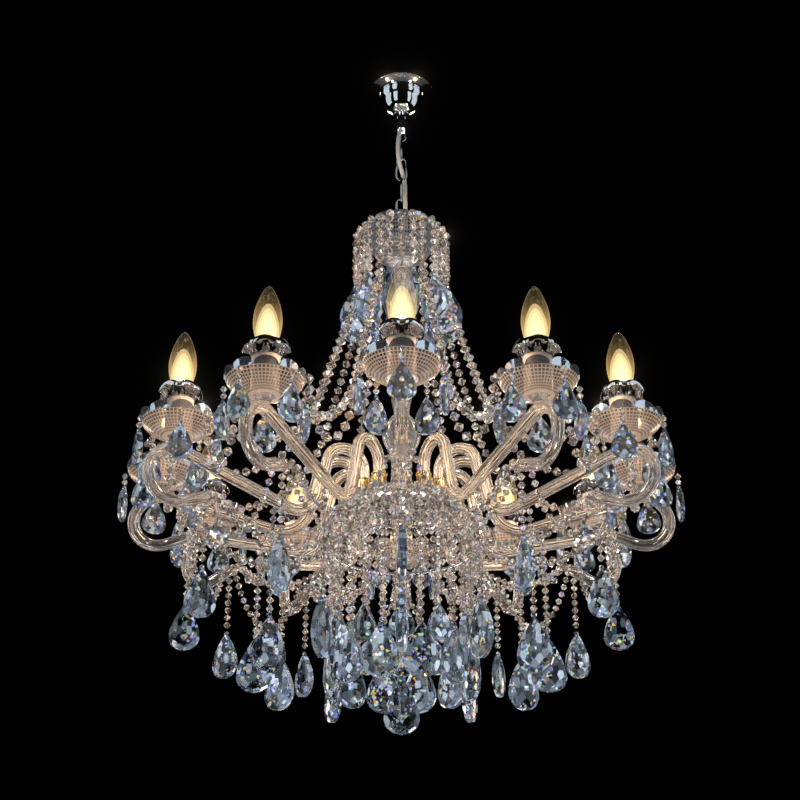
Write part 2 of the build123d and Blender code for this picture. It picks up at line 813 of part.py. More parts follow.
# From the crown's rim: drops between the arms, and a long strand over each arm to its dish
crown_face = crown_rim_radius + hang_gap
hang(
    [
        polar(crown_face, half_pitch, crown_rim - 2),
        polar(crown_face + strand_lead, half_pitch, crown_rim - 2),
        polar(crown_drop_radius, half_pitch, crown_rim - 16),
        polar(crown_drop_radius, half_pitch, crown_rim - crown_drop_length),
    ],
    drop=large_drop,
    turn=half_pitch,
)
dish_face = candle_circle_radius - dish_rim_radius - hang_gap
dish_hang = dish_rim - strand_radius + 1
crown_start = [(crown_face, 0, crown_rim - 6), (crown_face + strand_lead, 0, crown_rim - 6)]
dish_end = [(dish_face - 11, 0, dish_hang), (dish_face, 0, dish_hang)]
swag_reach = dish_face - crown_face
swag_fall = crown_rim - dish_hang
swag_line = [
    (crown_face + out * swag_reach, 0, crown_rim - down * swag_fall) for out, down in crown_swag
]
hang(crown_start + swag_line + dish_end)

# From dish to dish, starting at the third lobe round from the outermost
side_angle = radians(3 * 2 * half_lobe)


def beside_dish(reach):
    """Point off the dish's side at a distance from the candle's axis."""
    x = candle_circle_radius + reach * cos(side_angle)
    return (x, reach * sin(side_angle), dish_hang)


dish_start = dish_rim_radius + hang_gap
to_next_arm([beside_dish(dish_start), beside_dish(dish_start + strand_lead)], dish_swag_sag, 5)

# Small drops under every other lobe of a dish, made at its +X side and turned round the candle
drop_reach = dish_start + thin_strand_radius
drop_foot = dish_rim - dish_drop_length
dish_strand = wire_along(
    [(drop_reach, 0, dish_rim - hang_gap), (drop_reach, 0, drop_foot)], thin_strand_radius, strand_sides
)
dish_drop = almond(small_drop, (drop_reach, 0, drop_foot - hang_gap), 90)
for number in range(dish_lobe_count // 2):
    place = Location((candle_circle_radius, 0, 0), (0, 0, 4 * half_lobe * number))
    strands.append(dish_strand.moved(place))
    drops.append(dish_drop.moved(place))

# From each crook's tail: a drop, a strand to the next tail and two in to the basket ring
tail_slope = tan(radians(tail_angle))
tail_x = tail_end[0] + tail_hook_setback
tail_z = tail_end[1] + tail_hook_setback * tail_slope
tail_under = tail_z - arm_tube_radius / cos(radians(tail_angle + 180)) - hang_gap
tail_under += thin_strand_radius * tail_slope
tail_line = [(tail_x, 0, tail_under), (tail_x, 0, tail_under - tail_drop_length)]
hang(tail_line, thin_strand_radius, middle_drop)
tail_side = arm_tube_radius * cos(radians(30)) + hang_gap
to_next_arm(
    [(tail_x, tail_side, tail_z), (tail_x, tail_side + strand_lead, tail_z)],
    tail_swag_sag,
    4,
    thin_strand_radius,
)
ring_outside = (ring_radius + ring_wire / 2) / cos(radians(half_pitch / 2)) + hang_gap
tail_lead_drop = (strand_lead - hang_gap) * tail_slope
for side in (-1, 1):
    pair_offset = side * tail_pair_spread
    tail_face = (tail_end[0] - hang_gap, pair_offset, tail_end[1])
    tail_lead = (tail_end[0] - strand_lead, pair_offset, tail_end[1] - tail_lead_drop)
    swag_start = (tail_end[0] - 2.5 * strand_lead, side * ring_swag_spread, tail_end[1])
    ring_lead = polar(ring_outside + strand_lead, side * half_pitch / 3, ring_height)
    ring_face = polar(ring_outside, side * half_pitch / 3, ring_height)
    inward = catenary(swag_start, ring_lead, ring_swag_sag, 2)
    hang([tail_face, tail_lead] + inward + [ring_face], thin_strand_radius)

# Under each arm's straight run
arm_hang_z = trough[1] + trough_radius * sin(radians(rise - 90))
arm_hang_z += (arm_hang_radius - trough[0] - trough_radius * cos(radians(rise - 90))) * tan(radians(rise))
arm_under = arm_hang_z - arm_tube_radius / cos(radians(rise)) - hang_gap
arm_under -= thin_strand_radius * tan(radians(rise))
hang(
    [(arm_hang_radius, 0, arm_under), (arm_hang_radius, 0, arm_under - arm_drop_length)],
    thin_strand_radius,
    large_drop,
)

# Tent from the hub's edge to the basket ring, and the drops under the ring
hub_face = hub_radius + hang_gap
hub_middle = hub_top - hub_thickness / 2
ring_top = ring_height + ring_wire / 2 + hang_gap
ring_under = ring_height - ring_wire / 2 - hang_gap
for angle, length, drop in ((0, short_ring_drop, small_drop), (half_pitch, long_ring_drop, large_drop)):
    hang(
        [
            polar(hub_face, angle, hub_middle),
            polar(hub_face + strand_lead, angle, hub_middle),
            polar(ring_radius, angle, ring_top + 1.5 * strand_lead),
            polar(ring_radius, angle, ring_top),
        ],
        thin_strand_radius,
    )
    line = [polar(ring_radius, angle, ring_under), polar(ring_radius, angle, ring_under - length)]
    hang(line, strand_radius if angle else thin_strand_radius, drop, angle + 90)

centre_line = [(0, 0, hub_nut_bottom - hang_gap), (0, 0, hub_nut_bottom - centre_drop_length)]
centre_strand = wire_along(centre_line, strand_radius, strand_sides)
centre_drop = almond(large_drop, (0, 0, hub_nut_bottom - centre_drop_length - hang_gap), 0)

with BuildPart() as bead_strands:
    with PolarLocations(0, arm_count, start_angle=first_arm_angle):
        add(strands)
    add(centre_strand)
save(bead_strands, "bead_strands")

with BuildPart() as crystal_drops:
    with PolarLocations(0, arm_count, start_angle=first_arm_angle):
        add(drops)
    add(centre_drop)
save(crystal_drops, "crystal_drops")
print("strands", len(bead_strands.part.solids()), "drops", len(crystal_drops.part.solids()))
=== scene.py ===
import random
from math import asin, atan2, cos, cosh, hypot, pi, radians, sin, sqrt, tan, tau

import bmesh
import bpy
from mathutils import Matrix, Vector


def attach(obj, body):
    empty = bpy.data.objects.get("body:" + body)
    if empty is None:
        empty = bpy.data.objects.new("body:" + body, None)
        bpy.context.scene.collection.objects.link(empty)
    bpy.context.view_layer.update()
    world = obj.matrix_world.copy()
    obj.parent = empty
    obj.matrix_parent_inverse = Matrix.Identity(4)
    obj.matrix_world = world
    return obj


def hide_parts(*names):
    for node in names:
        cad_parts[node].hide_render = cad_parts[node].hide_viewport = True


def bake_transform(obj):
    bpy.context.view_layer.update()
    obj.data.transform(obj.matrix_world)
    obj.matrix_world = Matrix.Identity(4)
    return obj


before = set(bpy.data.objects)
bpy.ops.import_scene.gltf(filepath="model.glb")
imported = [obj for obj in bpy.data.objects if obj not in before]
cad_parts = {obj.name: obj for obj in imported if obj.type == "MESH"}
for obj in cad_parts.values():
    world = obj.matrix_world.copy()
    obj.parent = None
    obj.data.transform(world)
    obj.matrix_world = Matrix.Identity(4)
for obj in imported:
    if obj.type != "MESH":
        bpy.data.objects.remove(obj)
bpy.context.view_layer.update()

# ------------------------------------------------------------------ sizes in mm
# As in the solids, but for CROWN_RIM, DISH_RIM and DISH_REACH, which are lower or narrower here
ARMS = 12
HALF_PITCH = 15.0
CANDLE_CIRCLE = 320.0
LOOP_BAR = -90.5
LINK_PITCH = 35.2
LINK_WIRE = 2.8
LOOP_WIRE = 3.0
HANG = -231.3
CUP_TOP = -252.3
CUP_BOTTOM = -268.3
CROWN_BOTTOM = -302.3
CROWN_FLOOR = -298.3
CROWN_RIM = -253.3
HUB_TOP = -672.3
HUB_BOTTOM = -679.3
COVER_BOTTOM = -695.3
NUT_BOTTOM = -705.3
ARM_FOOT = -670.3
CROOK_TOP = -658.3
DISH_BOTTOM = -650.3
DISH_FLOOR = -646.8
DISH_RIM = -631.3
DISH_REACH = 46.5
SLEEVE_TOP = -584.3
BULB_BOTTOM = -607.0
BULB_SHOULDER = -583.0
RING_RADIUS = 92.0
RING_HEIGHT = -741.3
RING_FACE = 94.7
ARM_RADIUS = 8.0
FOOT_CIRCLE = 58.0
HUMP_BEND = 27.0
TROUGH_BEND = 35.0
CROOK_BEND = 34.0
TAIL_TURN = 200.0
TAIL_LENGTH = 37.0
THIN_STRAND_RADIUS = 3.5
CROWN_REACH = 53.0
HANG_GAP = 0.4
LEAD = 6.0
LARGE_DROP = (76.0, 44.0, 14.0)
MIDDLE_DROP = (66.0, 38.0, 12.0)
SMALL_DROP = (50.0, 32.0, 10.0)

at_arms = [Matrix.Rotation(radians(30 * i - 90), 4, "Z") for i in range(ARMS)]
at_candle = Matrix.Translation((CANDLE_CIRCLE, 0, 0))
at_candles = [turn @ at_candle for turn in at_arms]
chance = random.Random(12)


# ------------------------------------------------------------------ finishes
class Value:
    """A socket in a finish. Arithmetic on it adds Math nodes."""

    def __init__(self, finish, socket):
        self.finish = finish
        self.socket = socket

    def math(self, operation, first, second):
        return self.finish.node("ShaderNodeMath", {"operation": operation}, {0: first, 1: second})

    def __add__(self, other):
        return self.math("ADD", self, other)

    def __radd__(self, other):
        return self.math("ADD", other, self)

    def __sub__(self, other):
        return self.math("SUBTRACT", self, other)

    def __rsub__(self, other):
        return self.math("SUBTRACT", other, self)

    def __mul__(self, other):
        return self.math("MULTIPLY", self, other)

    def __rmul__(self, other):
        return self.math("MULTIPLY", other, self)

    def __pow__(self, other):
        return self.math("POWER", self, other)

    def __gt__(self, other):
        return self.math("GREATER_THAN", self, other)

    def __lt__(self, other):
        return self.math("LESS_THAN", self, other)


class Finish:
    """One procedural material."""

    def __init__(self, name):
        self.material = bpy.data.materials.new(name)
        self.material.use_nodes = True
        self.nodes = self.material.node_tree.nodes
        self.links = self.material.node_tree.links
        self.nodes.clear()
        self.place = self.node("ShaderNodeTexCoord", out="Object")

    def node(self, kind, settings=None, inputs=None, out=0):
        """Any node: its settings first, then the values or links of its sockets."""
        node = self.nodes.new(kind)
        for key, value in (settings or {}).items():
            if key == "stops":
                ramp = node.color_ramp
                while len(ramp.elements) < len(value):
                    ramp.elements.new(0.5)
                for element, (position, colour) in zip(ramp.elements, value):
                    element.position = position
                    element.color = (*colour, 1.0)
            else:
                setattr(node, key, value)
        for key, value in (inputs or {}).items():
            if isinstance(value, Value):
                self.links.new(value.socket, node.inputs[key])
            else:
                node.inputs[key].default_value = value
        return Value(self, node.outputs[out]) if node.outputs else None

    def noise(self, scale, detail=3.0):
        return self.node("ShaderNodeTexNoise", None, {"Vector": self.place, "Scale": scale, "Detail": detail}, 0)

    def cells(self, scale):
        """A colour of its own for each small cell."""
        return self.node("ShaderNodeTexVoronoi", None, {"Vector": self.place, "Scale": scale}, "Color")

    def mixed(self, share, first, second):
        """Colour between two colours."""
        settings = {"data_type": "RGBA", "blend_type": "MIX"}
        return self.node("ShaderNodeMix", settings, {0: share, 6: first, 7: second}, 2)

    def bump(self, height, strength, distance):
        inputs = {"Height": height, "Strength": strength, "Distance": distance}
        return self.node("ShaderNodeBump", None, inputs)

    def skin(self, **inputs):
        """Principled surface, its sockets named with underscores for spaces."""
        named = {key.replace("_", " "): value for key, value in inputs.items()}
        return self.node("ShaderNodeBsdfPrincipled", None, named)

    def blended(self, share, first, second):
        return self.node("ShaderNodeMixShader", None, {0: share, 1: first, 2: second})

    def wear(self, shader):
        self.node("ShaderNodeOutputMaterial", None, {"Surface": shader})
        return self


def polished_metal(name, colour, shade, smoothness, smudge=0.08, scale=60.0):
    """Plated or solid metal with faint smudges and fine polishing marks."""
    finish = Finish(name)
    haze = finish.noise(scale)
    marks = finish.noise(scale * 22, 2.0)
    tone = finish.mixed(haze, (*colour, 1), (*shade, 1))
    bump = finish.bump(marks, 0.04, 0.0002)
    return finish.wear(
        finish.skin(Base_Color=tone, Metallic=1.0, Roughness=smoothness + haze * smudge, Normal=bump)
    )


def clear_glass(name, tint, shade, rough, ior, ripple, milk_and_glow_share=0.0, milk_and_glow_colour=(0.8, 0.68, 0.6)):
    """Blown or pressed glass: a faint tint that drifts, a slow ripple in its skin, and a share of milky skin with a
    painted glow (emission) in it.
    """
    finish = Finish(name)
    drift = finish.noise(14.0)
    tone = finish.mixed(drift, (*tint, 1), (*shade, 1))
    bump = finish.bump(finish.noise(120.0, 1.0), ripple, 0.0006)
    clear = finish.skin(
        Base_Color=tone, Roughness=rough + drift * 0.03, IOR=ior, Transmission_Weight=1.0, Normal=bump,
    )
    if not milk_and_glow_share:
        return finish.wear(clear)
    milk_and_glow_tone = finish.mixed(drift, (*milk_and_glow_colour, 1), (milk_and_glow_colour[0] * 0.8, milk_and_glow_colour[1] * 0.86, milk_and_glow_colour[2] * 0.95, 1))
    # Painted glow: this milky skin gives off light of its own colour (emission), though the glass is no lamp.
    milk_and_painted_glow = finish.skin(
        Base_Color=milk_and_glow_tone, Metallic=0.6, Roughness=0.2 + drift * 0.1, Normal=bump,
        Emission_Color=milk_and_glow_tone, Emission_Strength=0.2,
    )
    return finish.wear(finish.blended(milk_and_glow_share * (0.7 + drift * 0.6), clear, milk_and_painted_glow))


def hobnail_glass(name, ridge_glow_colour, far_ridge, clear_tint, rim, opaque, glow):
    """Pressed bowl: clear square nails painted dark between ridges that glow with painted light (emission), and plain
    lobes above the rim.
    """
    finish = Finish(name)
    column = finish.node("ShaderNodeAttribute", {"attribute_name": "nail_column"}, out="Fac")
    row = finish.node("ShaderNodeAttribute", {"attribute_name": "nail_row"}, out="Fac")
    window = (column > 0.32) * (row > 0.32)
    drift = finish.noise(26.0)
    height = finish.node("ShaderNodeSeparateXYZ", None, {"Vector": finish.place}, "Z")
    below = height < (rim + 0.3) / 1000
    painted_ridge_glow = finish.mixed(drift, (*ridge_glow_colour, 1), (ridge_glow_colour[0] * 0.8, ridge_glow_colour[1] * 0.95, ridge_glow_colour[2] * 1.15, 1))
    # Painted shade: the nail windows are near black, standing in for the dark seen through them.
    ridges_with_painted_dark_nails = finish.mixed(window, (*far_ridge, 1), (0.012, 0.008, 0.006, 1))
    pressed = finish.mixed(below, (0.8, 0.88, 1.0, 1), ridges_with_painted_dark_nails)
    bump = finish.bump(finish.noise(240.0, 1.0), 0.06, 0.0005)
    clear = finish.skin(
        Base_Color=finish.mixed(drift, (*clear_tint, 1), (1, 1, 1, 1)),
        Roughness=0.02 + drift * 0.03, IOR=1.52, Transmission_Weight=1.0, Normal=bump,
    )
    # Painted light: the ridges below the rim glow in the ridge colour (emission), as if lit by the lamps.
    lit = finish.mixed(below * (1 - window), (0, 0, 0, 1), painted_ridge_glow)
    cut = finish.skin(
        Base_Color=pressed, Roughness=0.03 + below * (0.2 + drift * 0.1), Metallic=0.95 - below * 0.85, Normal=bump,
        Emission_Color=lit, Emission_Strength=glow,
    )
    return finish.wear(finish.blended(0.7 + below * (opaque - 0.7 - window * 0.12), clear, cut))


def cut_crystal(name, body, fineness, mirror, spread, glint_colours, share, glow, dim_glint, bright_glint):
    """Lead crystal: clear facets, some mirrored with painted glints (emission), and small flecks of painted coloured
    fire.
    """
    finish = Finish(name)
    facet = finish.node("ShaderNodeAttribute", {"attribute_name": "facet"}, out="Color")
    tone = finish.node("ShaderNodeSeparateColor", None, {"Color": facet}, "Red")
    fleck = finish.cells(fineness)
    hue = finish.node("ShaderNodeSeparateColor", None, {"Color": fleck}, "Green")
    lucky = (
        finish.node("ShaderNodeSeparateColor", None, {"Color": facet}, "Blue") * 0.5
        + finish.node("ShaderNodeSeparateColor", None, {"Color": fleck}, "Blue") * 0.5
    )
    fire_glint_colour = finish.node("ShaderNodeValToRGB", {"stops": glint_colours}, {"Fac": hue})
    haze = finish.noise(90.0)
    clear = finish.skin(
        Base_Color=finish.mixed(0.04, (*body, 1), fire_glint_colour), Roughness=haze * 0.02, IOR=1.62,
        Transmission_Weight=1.0,
    )
    # Painted glints: each mirrored facet gives off light (emission) from the dim to the bright colour by chance, and
    # some flecks glow in the fire colours.
    light = finish.mixed(tone ** 5.0, (*dim_glint, 1), (*bright_glint, 1))
    mirror_with_painted_glints = finish.skin(
        Base_Color=finish.mixed(tone ** 3.0, (0.03, 0.03, 0.035, 1), (0.8, 0.81, 0.84, 1)),
        Metallic=1.0,
        Roughness=0.04 + tone * 0.1,
        Emission_Color=finish.mixed(lucky > share, light, fire_glint_colour),
        Emission_Strength=glow,
    )
    return finish.wear(finish.blended(mirror + (tone ** 3.0) * spread + (lucky > share) * 0.4, clear, mirror_with_painted_glints))


def plain_skin(name, colour, shade, rough, grain, scale=300.0, **more):
    """Plastic, enamel or sheath with a fine grain and slight change of tone."""
    finish = Finish(name)
    drift = finish.noise(40.0)
    tone = finish.mixed(drift, (*colour, 1), (*shade, 1))
    bump = finish.bump(finish.noise(scale), grain, 0.0003)
    return finish.wear(finish.skin(Base_Color=tone, Roughness=rough + drift * 0.1, Normal=bump, **more))


# Colours of the painted fire glints on the crystal.
warm_glint_colours = [
    (0.0, (1.0, 0.3, 0.06)), (0.12, (1.0, 0.62, 0.2)), (0.3, (1.0, 0.84, 0.62)), (0.62, (1.0, 0.9, 0.8)),
    (0.78, (0.55, 0.9, 0.7)), (0.88, (0.35, 0.55, 1.0)), (1.0, (0.6, 0.35, 1.0)),
]
cool_glint_colours = [
    (0.0, (1.0, 0.25, 0.05)), (0.16, (1.0, 0.6, 0.12)), (0.28, (0.55, 0.95, 0.4)), (0.4, (0.55, 0.78, 1.0)),
    (0.66, (0.8, 0.9, 1.0)), (0.84, (0.15, 0.3, 1.0)), (1.0, (0.5, 0.25, 1.0)),
]
chrome = polished_metal("polished chrome", (0.82, 0.83, 0.85), (0.72, 0.73, 0.76), 0.01, 0.03)
dark_nickel = polished_metal("dark nickel", (0.2, 0.19, 0.18), (0.12, 0.12, 0.12), 0.14)
brass = polished_metal("polished brass", (0.86, 0.66, 0.32), (0.75, 0.52, 0.22), 0.06)
zinc = polished_metal("zinc plated steel", (0.62, 0.63, 0.6), (0.5, 0.5, 0.46), 0.3, 0.2)
# For arm and column glass the last numbers are the share and colour of a milky skin with a painted glow.
arm_glass = clear_glass("fluted arm glass", (1.0, 0.965, 0.93), (1.0, 0.94, 0.89), 0.03, 1.5, 0.05, 0.06)
# The first colour of each is the ridges' painted glow and the last number its strength; the nails are painted dark.
dish_glass = hobnail_glass(
    "hobnail dish glass", (0.95, 0.62, 0.42), (0.1, 0.065, 0.045), (1.0, 0.93, 0.86), DISH_RIM, 0.62, 0.5,
)
crown_glass = hobnail_glass(
    "hobnail crown glass", (0.4, 0.42, 0.46), (0.05, 0.05, 0.055), (0.6, 0.64, 0.72), CROWN_RIM, 0.6, 0.22,
)
column_glass = clear_glass(
    "turned column glass", (0.98, 0.98, 0.97), (0.95, 0.96, 0.98), 0.02, 1.5, 0.03, 0.08, (0.6, 0.62, 0.68),
)
# For beads and almonds the last two colours are the dim and bright painted glints, the number before them their glow
# strength.
bead_crystal = cut_crystal(
    "bead crystal", (1, 0.98, 0.95), 300.0, 0.32, 0.3, warm_glint_colours, 0.76, 0.8, (0.015, 0.01, 0.008), (0.85, 0.62, 0.5),
)
drop_crystal = cut_crystal(
    "drop crystal", (0.3, 0.35, 0.4), 330.0, 0.16, 0.5, cool_glint_colours, 0.81, 1.1,
    (0.001, 0.0015, 0.002), (0.42, 0.52, 0.62),
)
candle_white = plain_skin(
    "satin candle white", (0.66, 0.54, 0.46), (0.6, 0.47, 0.39), 0.32, 0.05,
    Subsurface_Weight=0.15, Subsurface_Radius=(0.004, 0.002, 0.001),
)
white_plastic = plain_skin("moulded white plastic", (0.82, 0.81, 0.77), (0.76, 0.74, 0.7), 0.45, 0.08)
cable_sheath = plain_skin("silver white sheath", (0.8, 0.79, 0.77), (0.7, 0.69, 0.68), 0.3, 0.12, 700.0)
wire_cream = plain_skin("clear sheathed wire in the arms", (0.62, 0.55, 0.45), (0.5, 0.42, 0.34), 0.3, 0.05)


def lit_bulb_glass():
    """Thin clear bulb glass with the filament's glow painted into it as emission, strongest low down, with a painted
    bright rim and painted streaks of reflection.
    """
    finish = Finish("lit bulb glass")
    height = finish.node("ShaderNodeSeparateXYZ", None, {"Vector": finish.place}, "Z")
    rise = (height - BULB_SHOULDER / 1000) * (1 / 0.08)
    painted_filament_glow = finish.node(
        "ShaderNodeValToRGB",
        {"stops": [
            (0.0, (1.0, 0.78, 0.42)), (0.2, (1.0, 0.68, 0.28)), (0.45, (0.85, 0.52, 0.17)),
            (0.72, (0.5, 0.34, 0.13)), (1.0, (0.6, 0.46, 0.27)),
        ]},
        {"Fac": rise},
    )
    glowing = (1 - rise) ** 1.8
    edge = finish.node("ShaderNodeLayerWeight", None, {"Blend": 0.3}, "Facing")
    drawn = finish.node("ShaderNodeMapping", None, {"Vector": finish.place, "Scale": (330, 330, 12)})
    painted_streak_reflection = finish.node("ShaderNodeTexNoise", None, {"Vector": drawn, "Scale": 1.0, "Detail": 1.0}, 0)
    return finish.wear(
        finish.skin(
            Base_Color=finish.mixed(finish.noise(50.0), (0.0006, 0.0005, 0.0003, 1), (0.0, 0.0, 0.0, 1)),
            Roughness=0.02 + finish.noise(30.0) * 0.03,
            # Painted light: the alpha brings out the emission at the rim (painted highlight), in drawn streaks
            # (painted reflections) and low down (painted filament glow).
            Alpha=0.01 + (edge ** 4.4) * 1.1 + (painted_streak_reflection ** 7.0) * 2.0 + glowing * 0.5,
            Emission_Color=painted_filament_glow,
            Emission_Strength=0.95,
        )
    )


def hot_filament():
    """The filament's glare: thin shells, one inside another, that add up towards the middle."""
    finish = Finish("hot filament")
    tone = finish.mixed(finish.noise(200.0), (1.0, 0.76, 0.36, 1), (1.0, 0.82, 0.44, 1))
    return finish.wear(
        finish.skin(
            Base_Color=finish.mixed(0.99, tone, (0, 0, 0, 1)),
            Roughness=1.0,
            Specular_IOR_Level=0.0,
            Alpha=0.1,
            Emission_Color=tone,
            Emission_Strength=3.1,
        )
    )


bulb_glass = lit_bulb_glass()
filament = hot_filament()


# ------------------------------------------------------------------ making pieces
def piece(name, shape, finish, body="chandelier", stands_for=(), sharp=30.0):
    """Object from a shape drawn in mm, riding on its body if it has one. sharp is None for flat facets."""
    shape.transform(Matrix.Scale(0.001, 4))
    mesh = bpy.data.meshes.new(name)
    shape.to_mesh(mesh)
    shape.free()
    mesh.materials.append(finish.material)
    mesh.polygons.foreach_set("use_smooth", [sharp is not None] * len(mesh.polygons))
    if sharp is not None:
        mesh.set_sharp_from_angle(angle=radians(sharp))
    else:
        facets = mesh.attributes.new("facet", "FLOAT_COLOR", "CORNER")
        tones = []
        for polygon in mesh.polygons:
            tones += [chance.random(), chance.random(), chance.random(), 1.0] * polygon.loop_total
        facets.data.foreach_set("color", tones)
    made = bpy.data.objects.new(name, mesh)
    bpy.context.scene.collection.objects.link(made)
    if body:
        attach(made, body)
    if stands_for:
        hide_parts(*stands_for)
    return made


def see_through(*pieces):
    """Glass doesn't shade what is behind it from the lamps."""
    for made in pieces:
        made.visible_shadow = False


def flowing(points, count=8):
    """Points along a smooth line through the given ones."""
    points = [Vector(point) for point in points]
    ends = [points[0]] + points + [points[-1]]
    line = []
    for before, start, end, after in zip(ends, ends[1:], ends[2:], ends[3:]):
        for i in range(count):
            t = i / count
            line.append(
                0.5 * (
                    2 * start
                    + (end - before) * t
                    + (2 * before - 5 * start + 4 * end - after) * t ** 2
                    + (3 * start - before - 3 * end + after) * t ** 3
                )
            )
    return line + [points[-1]]


def lathe(profile, steps=48, closed=False):
    """Turning from (radius, height) points, its poles closed and its faces outwards."""
    shape = bmesh.new()
    points = [shape.verts.new((radius, 0, height)) for radius, height in profile]
    pairs = list(zip(points, points[1:])) + ([(points[-1], points[0])] if closed else [])
    edges = [shape.edges.new(pair) for pair in pairs]
    bmesh.ops.spin(
        shape, geom=points + edges, cent=(0, 0, 0), axis=(0, 0, 1), angle=tau, steps=steps, use_merge=True
    )
    bmesh.ops.remove_doubles(shape, verts=shape.verts, dist=0.001)
    bmesh.ops.recalc_face_normals(shape, faces=shape.faces)
    return shape


class Pipe:
    """Tube drawn in the XZ plane from one section, by straight runs and by bends about a centre."""

    def __init__(self, start, heading, radius, sides=12, flutes=0, depth=0.0):
        self.shape = bmesh.new()
        made = bmesh.ops.create_circle(self.shape, segments=sides, radius=radius)
        for number, point in enumerate(made["verts"]):
            point.co *= 1 - depth / radius * (0.5 - 0.5 * cos(tau * flutes * number / sides)) if flutes else 1
        self.heading = Vector(heading).normalized()
        facing = self.heading.to_track_quat("Z", "Y").to_matrix().to_4x4()
        bmesh.ops.transform(self.shape, matrix=Matrix.Translation(start) @ facing, verts=made["verts"])
        self.first = list({edge for point in made["verts"] for edge in point.link_edges})
        self.end = self.first

    def run(self, length, grow=1.0):
        """Straight on by a length, the section scaled by grow."""
        made = bmesh.ops.extrude_edge_only(self.shape, edges=self.end)["geom"]
        points = [part for part in made if isinstance(part, bmesh.types.BMVert)]
        bmesh.ops.translate(self.shape, verts=points, vec=self.heading * length)
        middle = sum((point.co for point in points), Vector()) / len(points)
        bmesh.ops.scale(self.shape, verts=points, vec=(grow,) * 3, space=Matrix.Translation(-middle))
        points = set(points)
        self.end = [
            part for part in made
            if isinstance(part, bmesh.types.BMEdge) and part.verts[0] in points and part.verts[1] in points
        ]
        return self

    def bend(self, centre, degrees, step=7.5):
        """Round a centre (x, z) by an angle, positive when it turns clockwise seen from -Y."""
        points = list({point for edge in self.end for point in edge.verts})
        made = bmesh.ops.spin(
            self.shape,
            geom=points + self.end,
            cent=(centre[0], 0, centre[1]),
            axis=(0, 1, 0),
            angle=radians(degrees),
            steps=max(2, round(abs(degrees) / step)),
        )["geom_last"]
        self.end = [part for part in made if isinstance(part, bmesh.types.BMEdge)]
        self.heading = Matrix.Rotation(radians(degrees), 3, "Y") @ self.heading
        return self

    def capped(self):
        """The tube with both ends closed."""
        bmesh.ops.edgeloop_fill(self.shape, edges=self.first)
        bmesh.ops.edgeloop_fill(self.shape, edges=self.end)
        bmesh.ops.recalc_face_normals(self.shape, faces=self.shape.faces)
        return self.shape

    def joined(self):
        """The tube with its end sewn to its start."""
        bmesh.ops.remove_doubles(self.shape, verts=self.shape.verts, dist=0.02)
        bmesh.ops.recalc_face_normals(self.shape, faces=self.shape.faces)
        return self.shape


def as_mesh(shape):
    mesh = bpy.data.meshes.new("template")
    shape.to_mesh(mesh)
    shape.free()
    return mesh


def copies(template, places, into=None):
    """One shape with a copy of the template at every place."""
    joined = into or bmesh.new()
    mesh = as_mesh(template) if isinstance(template, bmesh.types.BMesh) else template
    for place in places:
        copy = mesh.copy()
        copy.transform(place)
        joined.from_mesh(copy)
        bpy.data.meshes.remove(copy)
    return joined


# ------------------------------------------------------------------ canopy, nuts and loops
canopy_line = [
    (47, 0), (47, -0.9), (45.5, -1.6), (40, -2.7), (34.8, -4.2), (33, -6), (33.1, -9), (32.9, -12),
    (32.4, -15), (31.4, -17.6), (29.9, -19.4), (29.1, -20.6), (28.9, -22.6), (28.2, -27), (26.6, -32),
    (24, -36.6), (20.4, -40.4), (16.4, -43.2), (13.4, -44.8), (12.6, -45.6), (12.2, -46.4), (9, -46.8),
    (6.2, -47), (6.2, -58.5),
]
canopy_shape = lathe(canopy_line, 96)
bmesh.ops.solidify(canopy_shape, geom=canopy_shape.faces[:], thickness=0.9)
piece("canopy_bell", canopy_shape, chrome, "ceiling", ["canopy"], 24)

knurls = lathe([(5.1, -58.6), (6.6, -58.6), (7, -59.2), (7, -65.4), (6.6, -66), (5.1, -66)], 60, closed=True)
for point in knurls.verts:
    reach = hypot(point.co.x, point.co.y)
    if reach > 6.8 and round(atan2(point.co.y, point.co.x) / tau * 60) % 2:
        point.co.xy *= 0.95
lock = bmesh.new()
bmesh.ops.create_cone(
    lock, cap_ends=True, segments=6, radius1=8.9, radius2=8.9, depth=3.9,
    matrix=Matrix.Translation((0, 0, -14)),
)
bmesh.ops.bevel(lock, geom=lock.edges[:], offset=0.4, segments=2, profile=0.5, affect="EDGES", material=-1)
nuts = copies(lock, [Matrix.Identity(4)], knurls)
piece("canopy_knurled_nut", nuts, dark_nickel, "ceiling", ["canopy_nuts"], 20)


def bail(root, bar_centre, half_width, wire, up):
    """Loop of wire in the XZ plane: leg, half turn, leg."""
    leg = abs(bar_centre - root)
    pipe = Pipe((-half_width, 0, root), (0, 0, up), wire / 2, 12)
    return pipe.run(leg).bend((0, bar_centre), 180 * up, 10).run(leg).capped()


collar = lathe(
    [(4.65, -73), (7.4, -73), (8, -72.4), (8, -70.6), (7.5, -70), (8, -69.4), (8, -66.7), (7.5, -66.1),
     (4.65, -66.1)],
    48, closed=True,
)
loop = bail(-71, LOOP_BAR - LOOP_WIRE / 2 + 6.2, 6.2, LOOP_WIRE, -1)
piece("canopy_bail", copies(loop, [Matrix.Identity(4)], collar), chrome, "ceiling", ["canopy_loop"])

